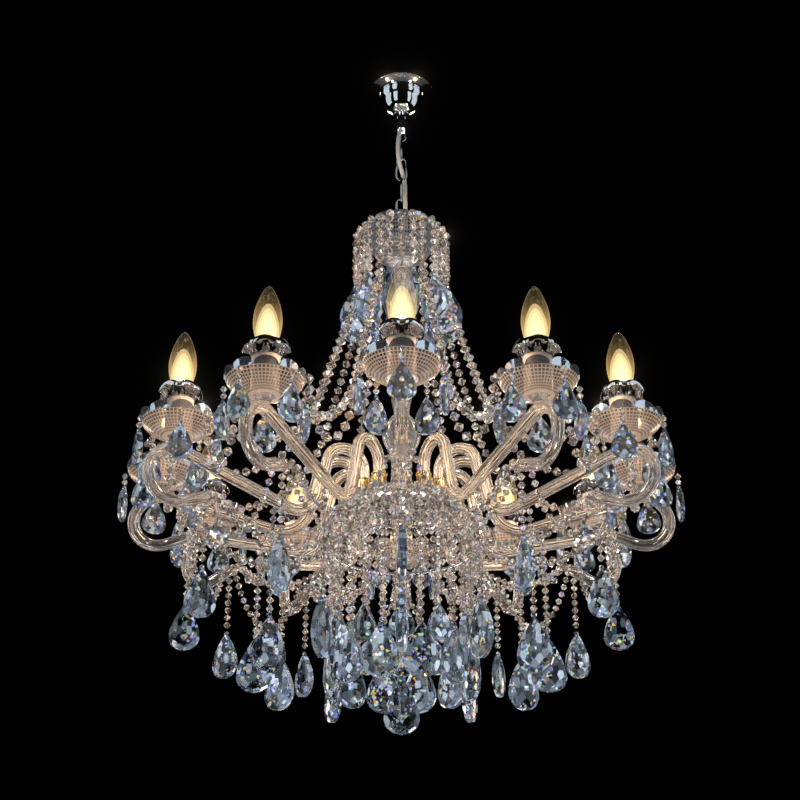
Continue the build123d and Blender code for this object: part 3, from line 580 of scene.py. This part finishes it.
# ------------------------------------------------------------------ chain
for number in range(4):
    top_inner = LOOP_BAR + 0.3 - number * LINK_PITCH
    half = (17.0 - LINK_WIRE) / 2
    upper = top_inner + LINK_WIRE / 2 - half
    lower = top_inner - 35.5 - LINK_WIRE / 2 + half
    link = Pipe((half, 0, lower), (0, 0, 1), LINK_WIRE / 2, 12)
    link.run((upper - lower) / 2).run((upper - lower) / 2).bend((0, upper), -180, 10)
    link.run(upper - lower).bend((0, lower), -180, 10)
    shape = link.joined()
    if number % 2 == 0:
        shape.transform(Matrix.Rotation(radians(90), 4, "Z"))
    piece(f"link_{number + 1}", shape, chrome, f"link_{number + 1}", [f"chain_link_{number + 1}"], 50)

# ------------------------------------------------------------------ supply cable, woven through the links
cable_route = [
    (0.0, 0.0, -14.0), (0.0, 0.0, -72.0), (-4.9, -5.4, -88.0), (-5.3, -5.4, -128.0), (5.1, 5.6, -159.0),
    (5.6, 1.0, -178.0), (5.2, -6.0, -197.0), (6.4, -5.4, -231.0), (6.4, -5.4, -258.0),
]
cable_curve = bpy.data.curves.new("cable route", "CURVE")
cable_curve.dimensions = "3D"
route = cable_curve.splines.new("NURBS")
route.points.add(len(cable_route) - 1)
for point, spot in zip(route.points, cable_route):
    point.co = (*(Vector(spot) / 1000), 1)
route.order_u = 3
route.use_endpoint_u = True
route.resolution_u = 12
cable_curve.bevel_depth = 0.003
cable_curve.bevel_resolution = 4
cable_curve.use_fill_caps = True
cable_model = bpy.data.objects.new("cable route", cable_curve)
cable_mesh = bpy.data.meshes.new_from_object(cable_model)
bpy.data.objects.remove(cable_model)
bars = [LOOP_BAR - LOOP_WIRE / 2] + [LOOP_BAR - LINK_PITCH * i - LINK_WIRE / 2 for i in range(1, 5)]
cuts = [-10.0] + [(one + two) / 2 for one, two in zip(bars, bars[1:])] + [-262.0]
for number, bar in enumerate(bars):
    stretch = bmesh.new()
    stretch.from_mesh(cable_mesh)
    bmesh.ops.remove_doubles(stretch, verts=stretch.verts, dist=0.00001)
    stretch.transform(Matrix.Scale(1000, 4))
    for height, side in ((cuts[number], 1), (cuts[number + 1], -1)):
        bmesh.ops.bisect_plane(
            stretch, geom=stretch.verts[:] + stretch.edges[:] + stretch.faces[:],
            plane_co=(0, 0, height), plane_no=(0, 0, side), clear_outer=True,
        )
    made = piece(
        f"supply_cable_{number + 1}", stretch, cable_sheath, None,
        ["supply_cable"] if number == 0 else [],
    )
    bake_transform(made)

# ------------------------------------------------------------------ crown
cup = lathe(
    [(0, CUP_BOTTOM), (10, CUP_BOTTOM), (11.4, CUP_BOTTOM + 1), (12, CUP_BOTTOM + 3), (12, CUP_TOP - 4),
     (11, CUP_TOP - 1.2), (9, CUP_TOP), (0, CUP_TOP)], 48,
)
hook = bail(CUP_TOP - 0.5, HANG + 0.3 + LOOP_WIRE / 2 - 6.2, 6.2, LOOP_WIRE, 1)
quarter = Matrix.Rotation(radians(90), 4, "Z")
piece("crown_bail", copies(hook, [quarter], cup), chrome, stands_for=["top_loop"])


def cut_bowl(profile, lobes, rim, nail, wall):
    """Hobnail bowl: turned, its rim drawn up in half-round lobes, every second point pushed out."""
    steps = lobes * 12
    shape = lathe(profile, steps)
    columns = shape.verts.layers.float.new("nail_column")
    rows = shape.verts.layers.float.new("nail_row")
    rings = sorted({round(point.co.z, 2) for point in shape.verts if point.co.z < rim + 0.01})
    for point in shape.verts:
        reach = hypot(point.co.x, point.co.y)
        if reach < 1:
            continue
        angle = atan2(point.co.y, point.co.x)
        if point.co.z > rim + 0.01:
            off = abs((angle / tau * lobes + 0.5) % 1 - 0.5) * 2
            arch = sqrt(max(0.0, 1 - off * off)) * 0.94 + 0.06
            point.co.z = rim + (point.co.z - rim) * arch
        else:
            point[columns] = round(angle / tau * steps) % 2
            point[rows] = rings.index(round(point.co.z, 2)) % 2
            if point[columns] and point[rows]:
                point.co.xy *= 1 + nail / reach
    bmesh.ops.solidify(shape, geom=shape.faces[:], thickness=wall)
    return shape


def bowl_profile(base, corners, rim_at, tip, floor, rows):
    """Wall of a bowl through its corners, with even rows up to the rim and three rows of lobe."""
    line = flowing([(base * 0.98, floor, 0)] + [(r, z, 0) for r, z in corners], 24)
    lengths = [0.0]
    for one, two in zip(line, line[1:]):
        lengths.append(lengths[-1] + (two - one).length)
    wall = []
    for row in range(rows + 1):
        goal = lengths[-1] * row / rows
        index = max(i for i, length in enumerate(lengths) if length <= goal + 1e-6)
        wall.append((line[index].x, line[index].y))
    lobes = [
        (rim_at[0] + (tip[0] - rim_at[0]) * share, rim_at[1] + (tip[1] - rim_at[1]) * share)
        for share in (0.3, 0.65, 1.0)
    ]
    return [(0, floor)] + wall + lobes


crown_wall_line = bowl_profile(
    19, [(31, CROWN_BOTTOM + 6), (42, CROWN_BOTTOM + 18), (48.6, CROWN_BOTTOM + 32), (CROWN_REACH, CROWN_RIM)],
    (CROWN_REACH, CROWN_RIM), (54.6, CROWN_RIM + 6), CROWN_BOTTOM, 22,
)
crown = piece(
    "crown_bowl_glass", cut_bowl(crown_wall_line, 12, CROWN_RIM, 0.8, 2.4), crown_glass,
    stands_for=["crown_bowl"], sharp=16,
)

# ------------------------------------------------------------------ glass column on the rod
column_turnings = [
    [(6, CROWN_FLOOR + 0.2), (8, CROWN_FLOOR + 0.6), (8, CUP_BOTTOM - 0.8), (6, CUP_BOTTOM - 0.2)],
    [(6, -306.1), (11, -306), (16, -304.8), (19, -303.4), (18, -302.5), (6, -302.4)],
    [(6, -402.2), (9, -402), (9.6, -396), (8.6, -384), (8.4, -372), (10, -356), (13, -338), (14, -326),
     (13, -314), (10.4, -308), (6, -306.4)],
    [(6, -432.2), (10, -432), (14.4, -427), (17, -420), (17, -414), (14.4, -407), (10, -402.5), (6, -402.4)],
    [(6, -545.2), (9, -545), (12, -534), (14, -520), (13, -504), (10, -486), (8.6, -470), (8.4, -456),
     (9, -440), (9.6, -433), (6, -432.4)],
    [(6, -672.2), (19.6, -672), (19, -664), (15, -648), (13.8, -634), (14, -618), (18, -600), (25, -584),
     (26, -576), (23, -564), (16, -552), (10, -545.6), (6, -545.4)],
]
column_shape = bmesh.new()
for turning in column_turnings:
    line = [(spot.x, spot.y) for spot in flowing([(r, z, 0) for r, z in turning], 4)]
    copies(lathe(line, 32, closed=True), [Matrix.Identity(4)], column_shape)
column = piece("column_turnings", column_shape, column_glass, stands_for=["column_glass"])

# ------------------------------------------------------------------ hub, its cups and cover
plate_line = [
    (0, HUB_BOTTOM), (62, HUB_BOTTOM), (67, HUB_BOTTOM + 0.8), (70, HUB_BOTTOM + 2.6), (70, HUB_TOP - 2.2),
    (68.6, HUB_TOP - 0.5), (66, HUB_TOP), (0, HUB_TOP),
]
piece("hub_plate_turned", lathe(plate_line, 96), chrome, stands_for=["hub_plate"])
cover_line = [
    (0, HUB_BOTTOM - 0.2), (42, HUB_BOTTOM - 0.2), (42, HUB_BOTTOM - 1.6), (39, HUB_BOTTOM - 4), (32, HUB_BOTTOM - 9),
    (22, HUB_BOTTOM - 13.6), (13, COVER_BOTTOM + 0.4), (0, COVER_BOTTOM),
]
cover = lathe(cover_line, 72)
cap_line = [
    (0, NUT_BOTTOM), (3, NUT_BOTTOM + 0.3), (7, NUT_BOTTOM + 2), (10, NUT_BOTTOM + 5.4), (11, NUT_BOTTOM + 8),
    (11, COVER_BOTTOM - 0.3), (0, COVER_BOTTOM - 0.3),
]
copies(lathe(cap_line, 36), [Matrix.Identity(4)], cover)
piece("hub_cover_turned", cover, chrome, stands_for=["hub_cover"])
foot_cup = lathe(
    [(8.4, -652.6), (8.4, -670.2), (0, -670.2), (0, -672.2), (8.6, -672.2), (9.6, -671), (9.2, -668), (9.4, -656),
     (10.5, -654.6), (10.5, -652.9), (9.6, -652.3)], 32, closed=True,
)
cups_at = [turn @ Matrix.Translation((FOOT_CIRCLE, 0, 0)) for turn in at_arms]
piece("arm_foot_cups", copies(foot_cup, cups_at), brass, stands_for=["hub_cups"])
ring = Pipe((RING_RADIUS, 0, 0), (0, 0, 1), 1.5, 10).bend((0, 0), 360, 5).joined()
ring.transform(Matrix.Translation((0, 0, RING_HEIGHT)) @ Matrix.Rotation(radians(90), 4, "X"))
piece("basket_ring_wire", ring, chrome, stands_for=["basket_ring"], sharp=50)

# ------------------------------------------------------------------ fluted glass arms
hump = (FOOT_CIRCLE + HUMP_BEND, ARM_FOOT + 29)
trough = (157.0, ARM_FOOT - 9)
crook = (CANDLE_CIRCLE, ARM_FOOT - 30)


def crossing(start, end, reach):
    """Angle and length of the straight run between two bends, reach apart across it."""
    gap = (end[0] - start[0], end[1] - start[1])
    span = hypot(*gap)
    return atan2(gap[1], gap[0]) - asin(reach / span), sqrt(span * span - reach * reach)


fall, fall_run = crossing(hump, trough, HUMP_BEND + TROUGH_BEND)
rise, rise_run = crossing(trough, crook, -(TROUGH_BEND + CROOK_BEND))


def arm_pipe(radius, sides, flutes=0, depth=0.0, tail=TAIL_LENGTH, step=7.5):
    """Tube along one arm, from its foot to its tail."""
    pipe = Pipe((FOOT_CIRCLE, 0, ARM_FOOT), (0, 0, 1), radius, sides, flutes, depth)
    pipe.run(29).bend(hump, 90 - fall / pi * 180, step).run(fall_run)
    pipe.bend(trough, (fall - rise) / pi * 180, step).run(rise_run)
    return pipe.bend(crook, rise / pi * 180 + TAIL_TURN, step).run(tail - 1.5)


arm_shape = arm_pipe(ARM_RADIUS, 32, 8, 1.3).run(1.5, 0.82).capped()
bell_line = [
    (0, CROOK_TOP - 4), (6.4, CROOK_TOP - 4), (7, CROOK_TOP), (8, CROOK_TOP + 2.4), (11.5, CROOK_TOP + 5),
    (13.4, DISH_BOTTOM - 0.6), (12.6, DISH_BOTTOM - 0.1), (0, DISH_BOTTOM - 0.1),
]
copies(lathe(bell_line, 32), [at_candle], arm_shape)
arm_mesh = as_mesh(arm_shape)
for number, turn in enumerate(at_arms, 1):
    arm = piece(
        f"glass_arm_{number:02d}", copies(arm_mesh, [turn]), arm_glass,
        stands_for=[f"arm_{number:02d}"], sharp=40,
    )
    see_through(arm)
wire = Pipe((FOOT_CIRCLE, 0, ARM_FOOT + 1), (0, 0, 1), 1.0, 8)
wire.run(28).bend(hump, 90 - fall / pi * 180, 15).run(fall_run)
wire.bend(trough, (fall - rise) / pi * 180, 15).run(rise_run)
wire.bend(crook, rise / pi * 180, 15)
piece("wires_in_arms", copies(wire.capped(), at_arms), wire_cream)

# ------------------------------------------------------------------ drip dishes
dish_line = bowl_profile(
    19, [(26, DISH_BOTTOM + 2.6), (34, DISH_BOTTOM + 6.4), (41.5, DISH_BOTTOM + 12), (DISH_REACH, DISH_RIM)],
    (DISH_REACH, DISH_RIM), (DISH_REACH + 1.8, DISH_RIM + 11), DISH_BOTTOM, 16,
)
dish_mesh = as_mesh(cut_bowl(dish_line, 10, DISH_RIM, 0.7, 2.2))
for number, place in enumerate(at_candles, 1):
    dish = piece(
        f"cut_dish_{number:02d}", copies(dish_mesh, [place]), dish_glass,
        stands_for=[f"drip_dish_{number:02d}"], sharp=16,
    )
    see_through(dish)
see_through(crown, column)

# ------------------------------------------------------------------ candle sleeves, collars and bulbs
sleeve = lathe(
    [(15.5, DISH_FLOOR), (16.8, DISH_FLOOR), (17, DISH_FLOOR + 0.6), (17, SLEEVE_TOP - 0.8), (16.6, SLEEVE_TOP),
     (15.5, SLEEVE_TOP)], 48, closed=True,
)
piece("satin_sleeves", copies(sleeve, at_candles), candle_white, stands_for=["candle_sleeves"])
collar_line = [
    (17.25, -16.4), (18, -16.4), (18.5, -15.6), (18, -14.6), (18, -2), (18.3, -0.6), (20.5, 0.6), (23.5, 0.4),
    (26, -1.4), (27.6, -4.6), (28.2, -8), (29, -8.2), (29.2, -7.4), (28.7, -4.2), (27, -0.4), (24, 1.7),
    (20.5, 1.9), (17, 1.6), (14.8, 1.5), (14.8, 0.2), (17.25, 0.1),
]
petals = lathe([(r, SLEEVE_TOP + z) for r, z in collar_line], 96, closed=True)
for point in petals.verts:
    reach = hypot(point.co.x, point.co.y)
    share = max(0.0, (reach - 19) / 10)
    wave = cos(6 * atan2(point.co.y, point.co.x))
    point.co.xy *= 1 - 0.1 * share * (1 - wave) / 2
    point.co.z += 4.5 * share ** 1.5 * (1 - wave) / 2
piece("ruffled_collars", copies(petals, at_candles), chrome, stands_for=["bulb_collars"], sharp=35)

bulb_line = flowing(
    [(7.2, -583.4, 0), (10.6, -581.6, 0), (13.2, -576, 0), (16.2, -565, 0), (17.5, -553, 0), (16.9, -542, 0),
     (14.4, -530, 0), (10.6, -519, 0), (6.4, -509.6, 0), (2.6, -504.6, 0), (0, -503, 0)], 3,
)
glass_mesh = as_mesh(lathe([(spot.x, spot.y) for spot in bulb_line], 40))
cap_points = [(0, BULB_BOTTOM), (2.6, BULB_BOTTOM), (3.4, BULB_BOTTOM + 1.6), (5.6, BULB_BOTTOM + 3)]
for turn in range(5):
    cap_points += [(6.4, BULB_BOTTOM + 4.6 + turn * 2.9), (6.9, BULB_BOTTOM + 6 + turn * 2.9)]
cap_points += [(6.6, BULB_SHOULDER - 1.5), (7.2, BULB_SHOULDER - 0.3), (0, BULB_SHOULDER - 0.3)]
cap_mesh = as_mesh(lathe(cap_points, 28))
glow_line = flowing(
    [(0, -582.4, 0), (6.6, -582, 0), (11, -578, 0), (13.8, -568, 0), (13.8, -558, 0), (11.6, -546, 0),
     (8, -536, 0), (3.6, -529, 0), (0, -527, 0)], 3,
)
GLOW_MIDDLE = -563.0
shells = bmesh.new()
for share in (0.25, 0.45, 0.64, 0.82, 1.0):
    shell_line = [
        (max(0.0, spot.x) * share, GLOW_MIDDLE + (spot.y - GLOW_MIDDLE) * share) for spot in glow_line
    ]
    shells.from_mesh(as_mesh(lathe(shell_line, 20)))
glow_mesh = as_mesh(shells)
stem_mesh = as_mesh(lathe([(0, -583), (3.6, -583), (3, -577), (1.6, -573), (0, -572)], 12))
for number, place in enumerate(at_candles, 1):
    body = f"lamp_{number:02d}"
    glass = piece(
        f"candle_bulb_{number:02d}", copies(glass_mesh, [place]), bulb_glass, body,
        [f"bulb_{number:02d}"], sharp=60,
    )
    see_through(glass)
    piece(f"bulb_cap_{number:02d}", copies(cap_mesh, [place]), brass, body)
    glow = copies(glow_mesh, [place])
    see_through(piece(f"filament_{number:02d}", glow, filament, body, sharp=60))
    piece(f"bulb_stem_{number:02d}", copies(stem_mesh, [place]), arm_glass, body, sharp=60)


# ------------------------------------------------------------------ hung crystal
def settled(shape):
    """The same shape, its points and facets put in order by place, because the cuts leave them in any order."""

    def place(spot):
        return [round(along, 2) for along in spot]

    points = sorted(shape.verts, key=lambda point: place(point.co))
    facets = sorted(shape.faces, key=lambda face: place(face.calc_center_median()))
    fresh = bmesh.new()
    made = {point: fresh.verts.new(point.co) for point in points}
    for facet in facets:
        corners = list(facet.verts)
        first = min(range(len(corners)), key=lambda number: place(corners[number].co))
        fresh.faces.new([made[corner] for corner in corners[first:] + corners[:first]])
    shape.free()
    return fresh


def cut_bead():
    """Faceted bead one unit in radius, its hole along Z."""
    shape = bmesh.new()
    for height, radius, shift in ((-0.78, 0.42, 0.5), (0.0, 1.0, 0), (0.78, 0.42, 0.5)):
        bmesh.ops.create_circle(
            shape, segments=8, radius=radius,
            matrix=Matrix.Translation((0, 0, height)) @ Matrix.Rotation(tau / 8 * shift, 4, "Z"),
        )
    bmesh.ops.convex_hull(shape, input=shape.verts[:])
    return settled(shape)


def cut_almond(size):
    """Pear drop hanging from the origin, its lattice of facets cut front and back one plane at a time."""
    height, width, thickness = size
    shape = bmesh.new()
    bmesh.ops.create_circle(
        shape, cap_ends=True, segments=18, radius=1, matrix=Matrix.Rotation(radians(90), 4, "X"),
    )
    for point in shape.verts:
        down = (1 - point.co.z) / 2
        point.co = (point.co.x * (0.2 + 0.8 * down) * width * 0.74, thickness / 2, -height * (0.09 + 0.91 * down))
    front = bmesh.ops.extrude_face_region(shape, geom=shape.faces[:])["geom"]
    bmesh.ops.translate(
        shape, verts=[part for part in front if isinstance(part, bmesh.types.BMVert)], vec=(0, -thickness, 0),
    )
    middle = -0.64 * height
    reach = width * 0.56
    belly = thickness * 0.5
    for number in range(11):
        down = 0.14 + 0.081 * number
        row = (-0.99, -0.56, 0, 0.56, 0.99) if number % 2 else (-0.8, -0.28, 0.28, 0.8)
        z = -height * down
        tall = height * (0.4 if z < middle else 0.66)
        rise = (z - middle) / tall
        half = reach * sqrt(max(0.0, 1 - rise * rise))
        for across in row:
            x = half * across
            lift = sqrt(max(0.02, 1 - rise * rise - (x / reach) ** 2))
            for side in (-1, 1):
                facing = Vector((x / reach ** 2, side * lift / belly, rise / tall))
                made = bmesh.ops.bisect_plane(
                    shape, geom=shape.verts[:] + shape.edges[:] + shape.faces[:],
                    plane_co=(x, side * belly * lift, z), plane_no=facing.normalized(), clear_outer=True,
                )["geom_cut"]
                bmesh.ops.edgeloop_fill(shape, edges=[part for part in made if isinstance(part, bmesh.types.BMEdge)])
    bmesh.ops.remove_doubles(shape, verts=shape.verts, dist=0.01)
    bmesh.ops.recalc_face_normals(shape, faces=shape.faces)
    bmesh.ops.create_icosphere(
        shape, subdivisions=1, radius=height * 0.052, matrix=Matrix.Translation((0, 0, -height * 0.052)),
    )
    return settled(shape)


beads = []
pins = []
drops = {LARGE_DROP: [], MIDDLE_DROP: [], SMALL_DROP: []}


def spaced(line, pitch, start):
    """Places and directions at a steady pitch along a line of points."""
    walked, goal = 0.0, start
    for one, two in zip(line, line[1:]):
        length = (two - one).length
        while length and goal <= walked + length:
            share = (goal - walked) / length
            yield one.lerp(two, share), (two - one).normalized()
            goal += pitch
        walked += length


def thread(line, bead, pitch, places, start=None):
    """Beads of one size along a line, copied to every place, each rolled by chance."""
    line = [Vector(point) for point in line]
    for spot, heading in spaced(line, pitch, pitch / 2 if start is None else start):
        facing = Matrix.Translation(spot) @ heading.to_track_quat("Z", "Y").to_matrix().to_4x4()
        for place in places:
            roll = Matrix.Rotation(chance.uniform(0, tau), 4, "Z")
            size = bead / 2 * chance.uniform(0.97, 1.03)
            beads.append(place @ facing @ roll @ Matrix.Scale(size, 4))
            pins.append(place @ facing @ Matrix.Diagonal((0.45, 0.45, pitch / 2, 1)))


def hang(size, top, turn, places):
    """Almond drop under a point, its flat side turned by an angle."""
    for place in places:
        swing = radians(turn + chance.uniform(-9, 9))
        drops[size].append(place @ Matrix.Translation(top) @ Matrix.Rotation(swing, 4, "Z"))


def catenary(start, end, sag, runs=24):
    """Points of a strand hung between two points, its sag measured below the line between."""
    span = hypot(end[0] - start[0], end[1] - start[1])
    low, high = 0.001, 20.0
    for _ in range(50):
        k = (low + high) / 2
        if (cosh(k) - 1) / (2 * k) < sag / span:
            low = k
        else:
            high = k
    line = []
    for i in range(runs + 1):
        t = i / runs
        spot = Vector(start).lerp(Vector(end), t)
        spot.z -= sag * (cosh(k) - cosh(k * (2 * t - 1))) / (cosh(k) - 1)
        line.append(spot)
    return line


def polar(radius, angle, height):
    return (radius * cos(radians(angle)), radius * sin(radians(angle)), height)


def mirrored(point):
    """The point's mirror image in the plane half way to the next arm."""
    radius, angle = hypot(point[0], point[1]), atan2(point[1], point[0]) / pi * 180
    return polar(radius, 2 * HALF_PITCH - angle, point[2])


# From the crown's rim: drops between the arms, and a long strand over each arm to its dish
crown_face = CROWN_REACH + HANG_GAP
crown_drop = flowing(
    [polar(reach, HALF_PITCH, CROWN_RIM - down)
     for reach, down in ((crown_face, 2), (60, 4), (66, 14), (66, 50), (66, 94))]
)
thread(crown_drop, 12.8, 13.4, at_arms, 8)
hang(LARGE_DROP, polar(66, HALF_PITCH, CROWN_RIM - 94 - HANG_GAP), HALF_PITCH, at_arms)
dish_face = CANDLE_CIRCLE - DISH_REACH - HANG_GAP
dish_hang = DISH_RIM - 1
swag_shares = [(0.04, 0.24), (0.14, 0.45), (0.245, 0.635), (0.355, 0.82), (0.515, 0.94), (0.70, 0.992), (0.86, 0.997)]
swag = [(crown_face, 0, CROWN_RIM - 6), (crown_face + LEAD, 0, CROWN_RIM - 10)]
swag += [
    (crown_face + out * (dish_face - crown_face), 0, CROWN_RIM - down * (CROWN_RIM - dish_hang))
    for out, down in swag_shares
]
swag += [(dish_face, 0, dish_hang)]
thread(flowing(swag), 12.8, 13.6, at_arms, 8)

# From dish to dish
side_angle = radians(108)


def beside_dish(reach):
    return (CANDLE_CIRCLE + reach * cos(side_angle), reach * sin(side_angle), dish_hang)


seat = DISH_REACH + HANG_GAP
lead = beside_dish(seat + LEAD)
thread([beside_dish(seat)] + catenary(lead, mirrored(lead), 80) + [mirrored(beside_dish(seat))], 12.6, 13.8, at_arms)

# Small drops round each dish
for number in range(5):
    around_dish = [place @ Matrix.Rotation(radians(72 * number), 4, "Z") for place in at_candles]
    reach = seat + THIN_STRAND_RADIUS
    thread([(reach, 0, DISH_RIM - 0.5), (reach, 0, DISH_RIM - 18)], 8.4, 8.7, around_dish)
    hang(SMALL_DROP, (reach, 0, DISH_RIM - 18 - HANG_GAP), 90, around_dish)

# From each arm's tail
tail_heading = radians(-TAIL_TURN)
tail_spoke = radians(90 - TAIL_TURN)
tail_slope = tan(tail_heading)
tail_end = (
    CANDLE_CIRCLE + CROOK_BEND * cos(tail_spoke) + TAIL_LENGTH * cos(tail_heading),
    crook[1] + CROOK_BEND * sin(tail_spoke) + TAIL_LENGTH * sin(tail_heading),
)
tail_x = tail_end[0] + 4
tail_z = tail_end[1] + 4 * tail_slope
tail_under = tail_z - ARM_RADIUS / cos(radians(20)) - HANG_GAP + THIN_STRAND_RADIUS * tail_slope
thread([(tail_x, 0, tail_under), (tail_x, 0, tail_under - 77)], 9.6, 10.6, at_arms)
hang(MIDDLE_DROP, (tail_x, 0, tail_under - 77 - HANG_GAP), 0, at_arms)
tail_side = ARM_RADIUS * cos(radians(30)) + HANG_GAP
lead = (tail_x, tail_side + LEAD, tail_z)
start = (tail_x, tail_side, tail_z)
thread([start] + catenary(lead, mirrored(lead), 66) + [mirrored(start)], 9.6, 10.6, at_arms)
for side in (-1, 1):
    start = (tail_end[0] - 2.5 * LEAD, side * 8, tail_end[1])
    end = polar(RING_FACE + LEAD, side * 5, RING_HEIGHT)
    strand = [(tail_end[0] - HANG_GAP, side * 3.8, tail_end[1])] + catenary(start, end, 30)
    strand.append(polar(RING_FACE, side * 5, RING_HEIGHT))
    thread(strand, 9.6, 10.4, at_arms)

# Under each arm's straight run
arm_hang = 186.0
arm_z = trough[1] - TROUGH_BEND * cos(rise) + (arm_hang - trough[0] - TROUGH_BEND * sin(rise)) * tan(rise)
arm_under = arm_z - ARM_RADIUS / cos(rise) - HANG_GAP - THIN_STRAND_RADIUS * tan(rise)
thread([(arm_hang, 0, arm_under), (arm_hang, 0, arm_under - 136)], 9.6, 10.6, at_arms)
hang(LARGE_DROP, (arm_hang, 0, arm_under - 136 - HANG_GAP), 0, at_arms)

# Tent from the hub's edge to the basket ring, and the drops under the ring
hub_middle = (HUB_TOP + HUB_BOTTOM) / 2
for angle in (0, HALF_PITCH / 2, HALF_PITCH, 1.5 * HALF_PITCH):
    tent = flowing(
        [polar(70.4, angle, hub_middle), polar(77, angle, hub_middle - 4), polar(89, angle, hub_middle - 30),
         polar(RING_RADIUS, angle, RING_HEIGHT + 3)]
    )
    thread(tent, 10.6, 11.4, at_arms)
for angle, length, size, bead in ((0, 92, SMALL_DROP, 8.8), (HALF_PITCH, 114, LARGE_DROP, 9.6)):
    top = RING_HEIGHT - 1.5 - HANG_GAP
    thread([polar(RING_RADIUS, angle, top), polar(RING_RADIUS, angle, top - length)], bead, bead * 1.08, at_arms)
    hang(size, polar(RING_RADIUS, angle, top - length - HANG_GAP), angle + 90, at_arms)
thread([(0, 0, NUT_BOTTOM - HANG_GAP), (0, 0, NUT_BOTTOM - 200)], 12.8, 13.8, [Matrix.Identity(4)])
hang(LARGE_DROP, (0, 0, NUT_BOTTOM - 200 - HANG_GAP), 0, [Matrix.Identity(4)])

bead_piece = piece(
    "cut_beads", copies(cut_bead(), beads), bead_crystal, stands_for=["bead_strands"], sharp=None
)
almonds = bmesh.new()
for size, places in drops.items():
    copies(cut_almond(size), places, almonds)
drop_piece = piece("cut_almonds", almonds, drop_crystal, stands_for=["crystal_drops"], sharp=None)
see_through(bead_piece, drop_piece)
pin = bmesh.new()
bmesh.ops.create_cone(pin, cap_ends=False, segments=4, radius1=1, radius2=1, depth=2)
piece("strand_pins", copies(pin, pins), chrome, sharp=60)

# ------------------------------------------------------------------ solids that stay
for node, finish in {
    "ceiling_bracket": zinc,
    "terminal_block": white_plastic,
    "hanger_tube": zinc,
    "centre_rod": zinc,
    "lampholders": white_plastic,
}.items():
    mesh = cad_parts[node].data
    mesh.materials.clear()
    mesh.materials.append(finish.material)

# ------------------------------------------------------------------ room, lights and camera
scene = bpy.context.scene
floor_shape = bmesh.new()
bmesh.ops.create_grid(floor_shape, x_segments=1, y_segments=1, size=2, matrix=Matrix.Translation((0, 0, -2.4)))
floor_mesh = bpy.data.meshes.new("pale floor")
floor_shape.to_mesh(floor_mesh)
floor_shape.free()
floor_paint = Finish("pale floor")
floor_tone = floor_paint.mixed(floor_paint.noise(2.0), (0.62, 0.61, 0.6, 1), (0.58, 0.57, 0.56, 1))
floor_paint.wear(floor_paint.skin(Base_Color=floor_tone, Roughness=0.7))
floor_mesh.materials.append(floor_paint.material)
floor = bpy.data.objects.new("pale_floor", floor_mesh)
scene.collection.objects.link(floor)

world = bpy.data.worlds.new("dark room")
world.use_nodes = True
world.node_tree.nodes["Background"].inputs["Color"].default_value = (0.5, 0.55, 0.65, 1)
world.node_tree.nodes["Background"].inputs["Strength"].default_value = 0.0006
scene.world = world


def soft_panel(name, azimuth, height, distance, size, power, colour):
    """Soft studio panel turned to the middle of the light, not seen by the camera."""
    lamp = bpy.data.lights.new(name, "AREA")
    lamp.shape = "RECTANGLE"
    lamp.size, lamp.size_y = size
    lamp.energy = power
    lamp.color = colour
    panel = bpy.data.objects.new(name, lamp)
    spot = Vector((distance * sin(radians(azimuth)), -distance * cos(radians(azimuth)), height))
    panel.location = spot
    panel.rotation_euler = (Vector((0, 0, -0.6)) - spot).to_track_quat("-Z", "Y").to_euler()
    panel.visible_camera = False
    scene.collection.objects.link(panel)


for number, (azimuth, height, size, power, colour) in enumerate([
    (-80, 0.0, (1.2, 2.0), 6, (0.8, 0.92, 1.0)),
    (-33, 0.0, (0.7, 2.0), 3.8, (0.8, 0.92, 1.0)),
    (47, 0.0, (0.6, 2.0), 3.4, (0.8, 0.92, 1.0)),
    (83, 0.0, (1.2, 2.0), 6, (0.8, 0.92, 1.0)),
    (-50, -2.1, (0.3, 0.3), 3, (0.86, 0.93, 1.0)),
    (50, -2.1, (0.3, 0.3), 3, (0.86, 0.93, 1.0)),
    (135, -0.8, (0.3, 0.8), 4, (1.0, 0.82, 0.62)),
    (180, -1.6, (0.3, 0.3), 3, (0.95, 0.95, 1.0)),
    (-135, -0.8, (0.3, 0.8), 4, (1.0, 0.82, 0.62)),
]):
    soft_panel(f"panel_{number}", azimuth, height, 1.9, size, power, colour)

LAMP_HEIGHT = -560.0
for number, place in enumerate(at_candles, 1):
    lamp = bpy.data.lights.new(f"candle_light_{number:02d}", "POINT")
    lamp.energy = 1.3
    lamp.color = (1.0, 0.76, 0.52)
    lamp.shadow_soft_size = 0.008
    light = bpy.data.objects.new(lamp.name, lamp)
    light.location = (place @ Vector((0, 0, LAMP_HEIGHT))) / 1000
    scene.collection.objects.link(light)

scene.view_settings.view_transform = "Standard"
scene.view_settings.exposure = 0.0
scene.use_nodes = True
picture = scene.node_tree
picture.nodes.clear()
rendered = picture.nodes.new("CompositorNodeRLayers")
glare = picture.nodes.new("CompositorNodeGlare")
glare.glare_type = "BLOOM"
glare.inputs["Threshold"].default_value = 1.4
glare.inputs["Strength"].default_value = 0.2
glare.inputs["Size"].default_value = 0.06
shown = picture.nodes.new("CompositorNodeComposite")
picture.links.new(rendered.outputs["Image"], glare.inputs["Image"])
picture.links.new(glare.outputs["Image"], shown.inputs["Image"])

lens = bpy.data.cameras.new("photo camera")
lens.lens = 65.9
lens.sensor_width = 36
camera = bpy.data.objects.new("photo_camera", lens)
camera.location = (-0.002, -1.8154, -1.3905)
camera.rotation_euler = (radians(90 + 25.55), 0, 0)
scene.collection.objects.link(camera)
scene.camera = camera
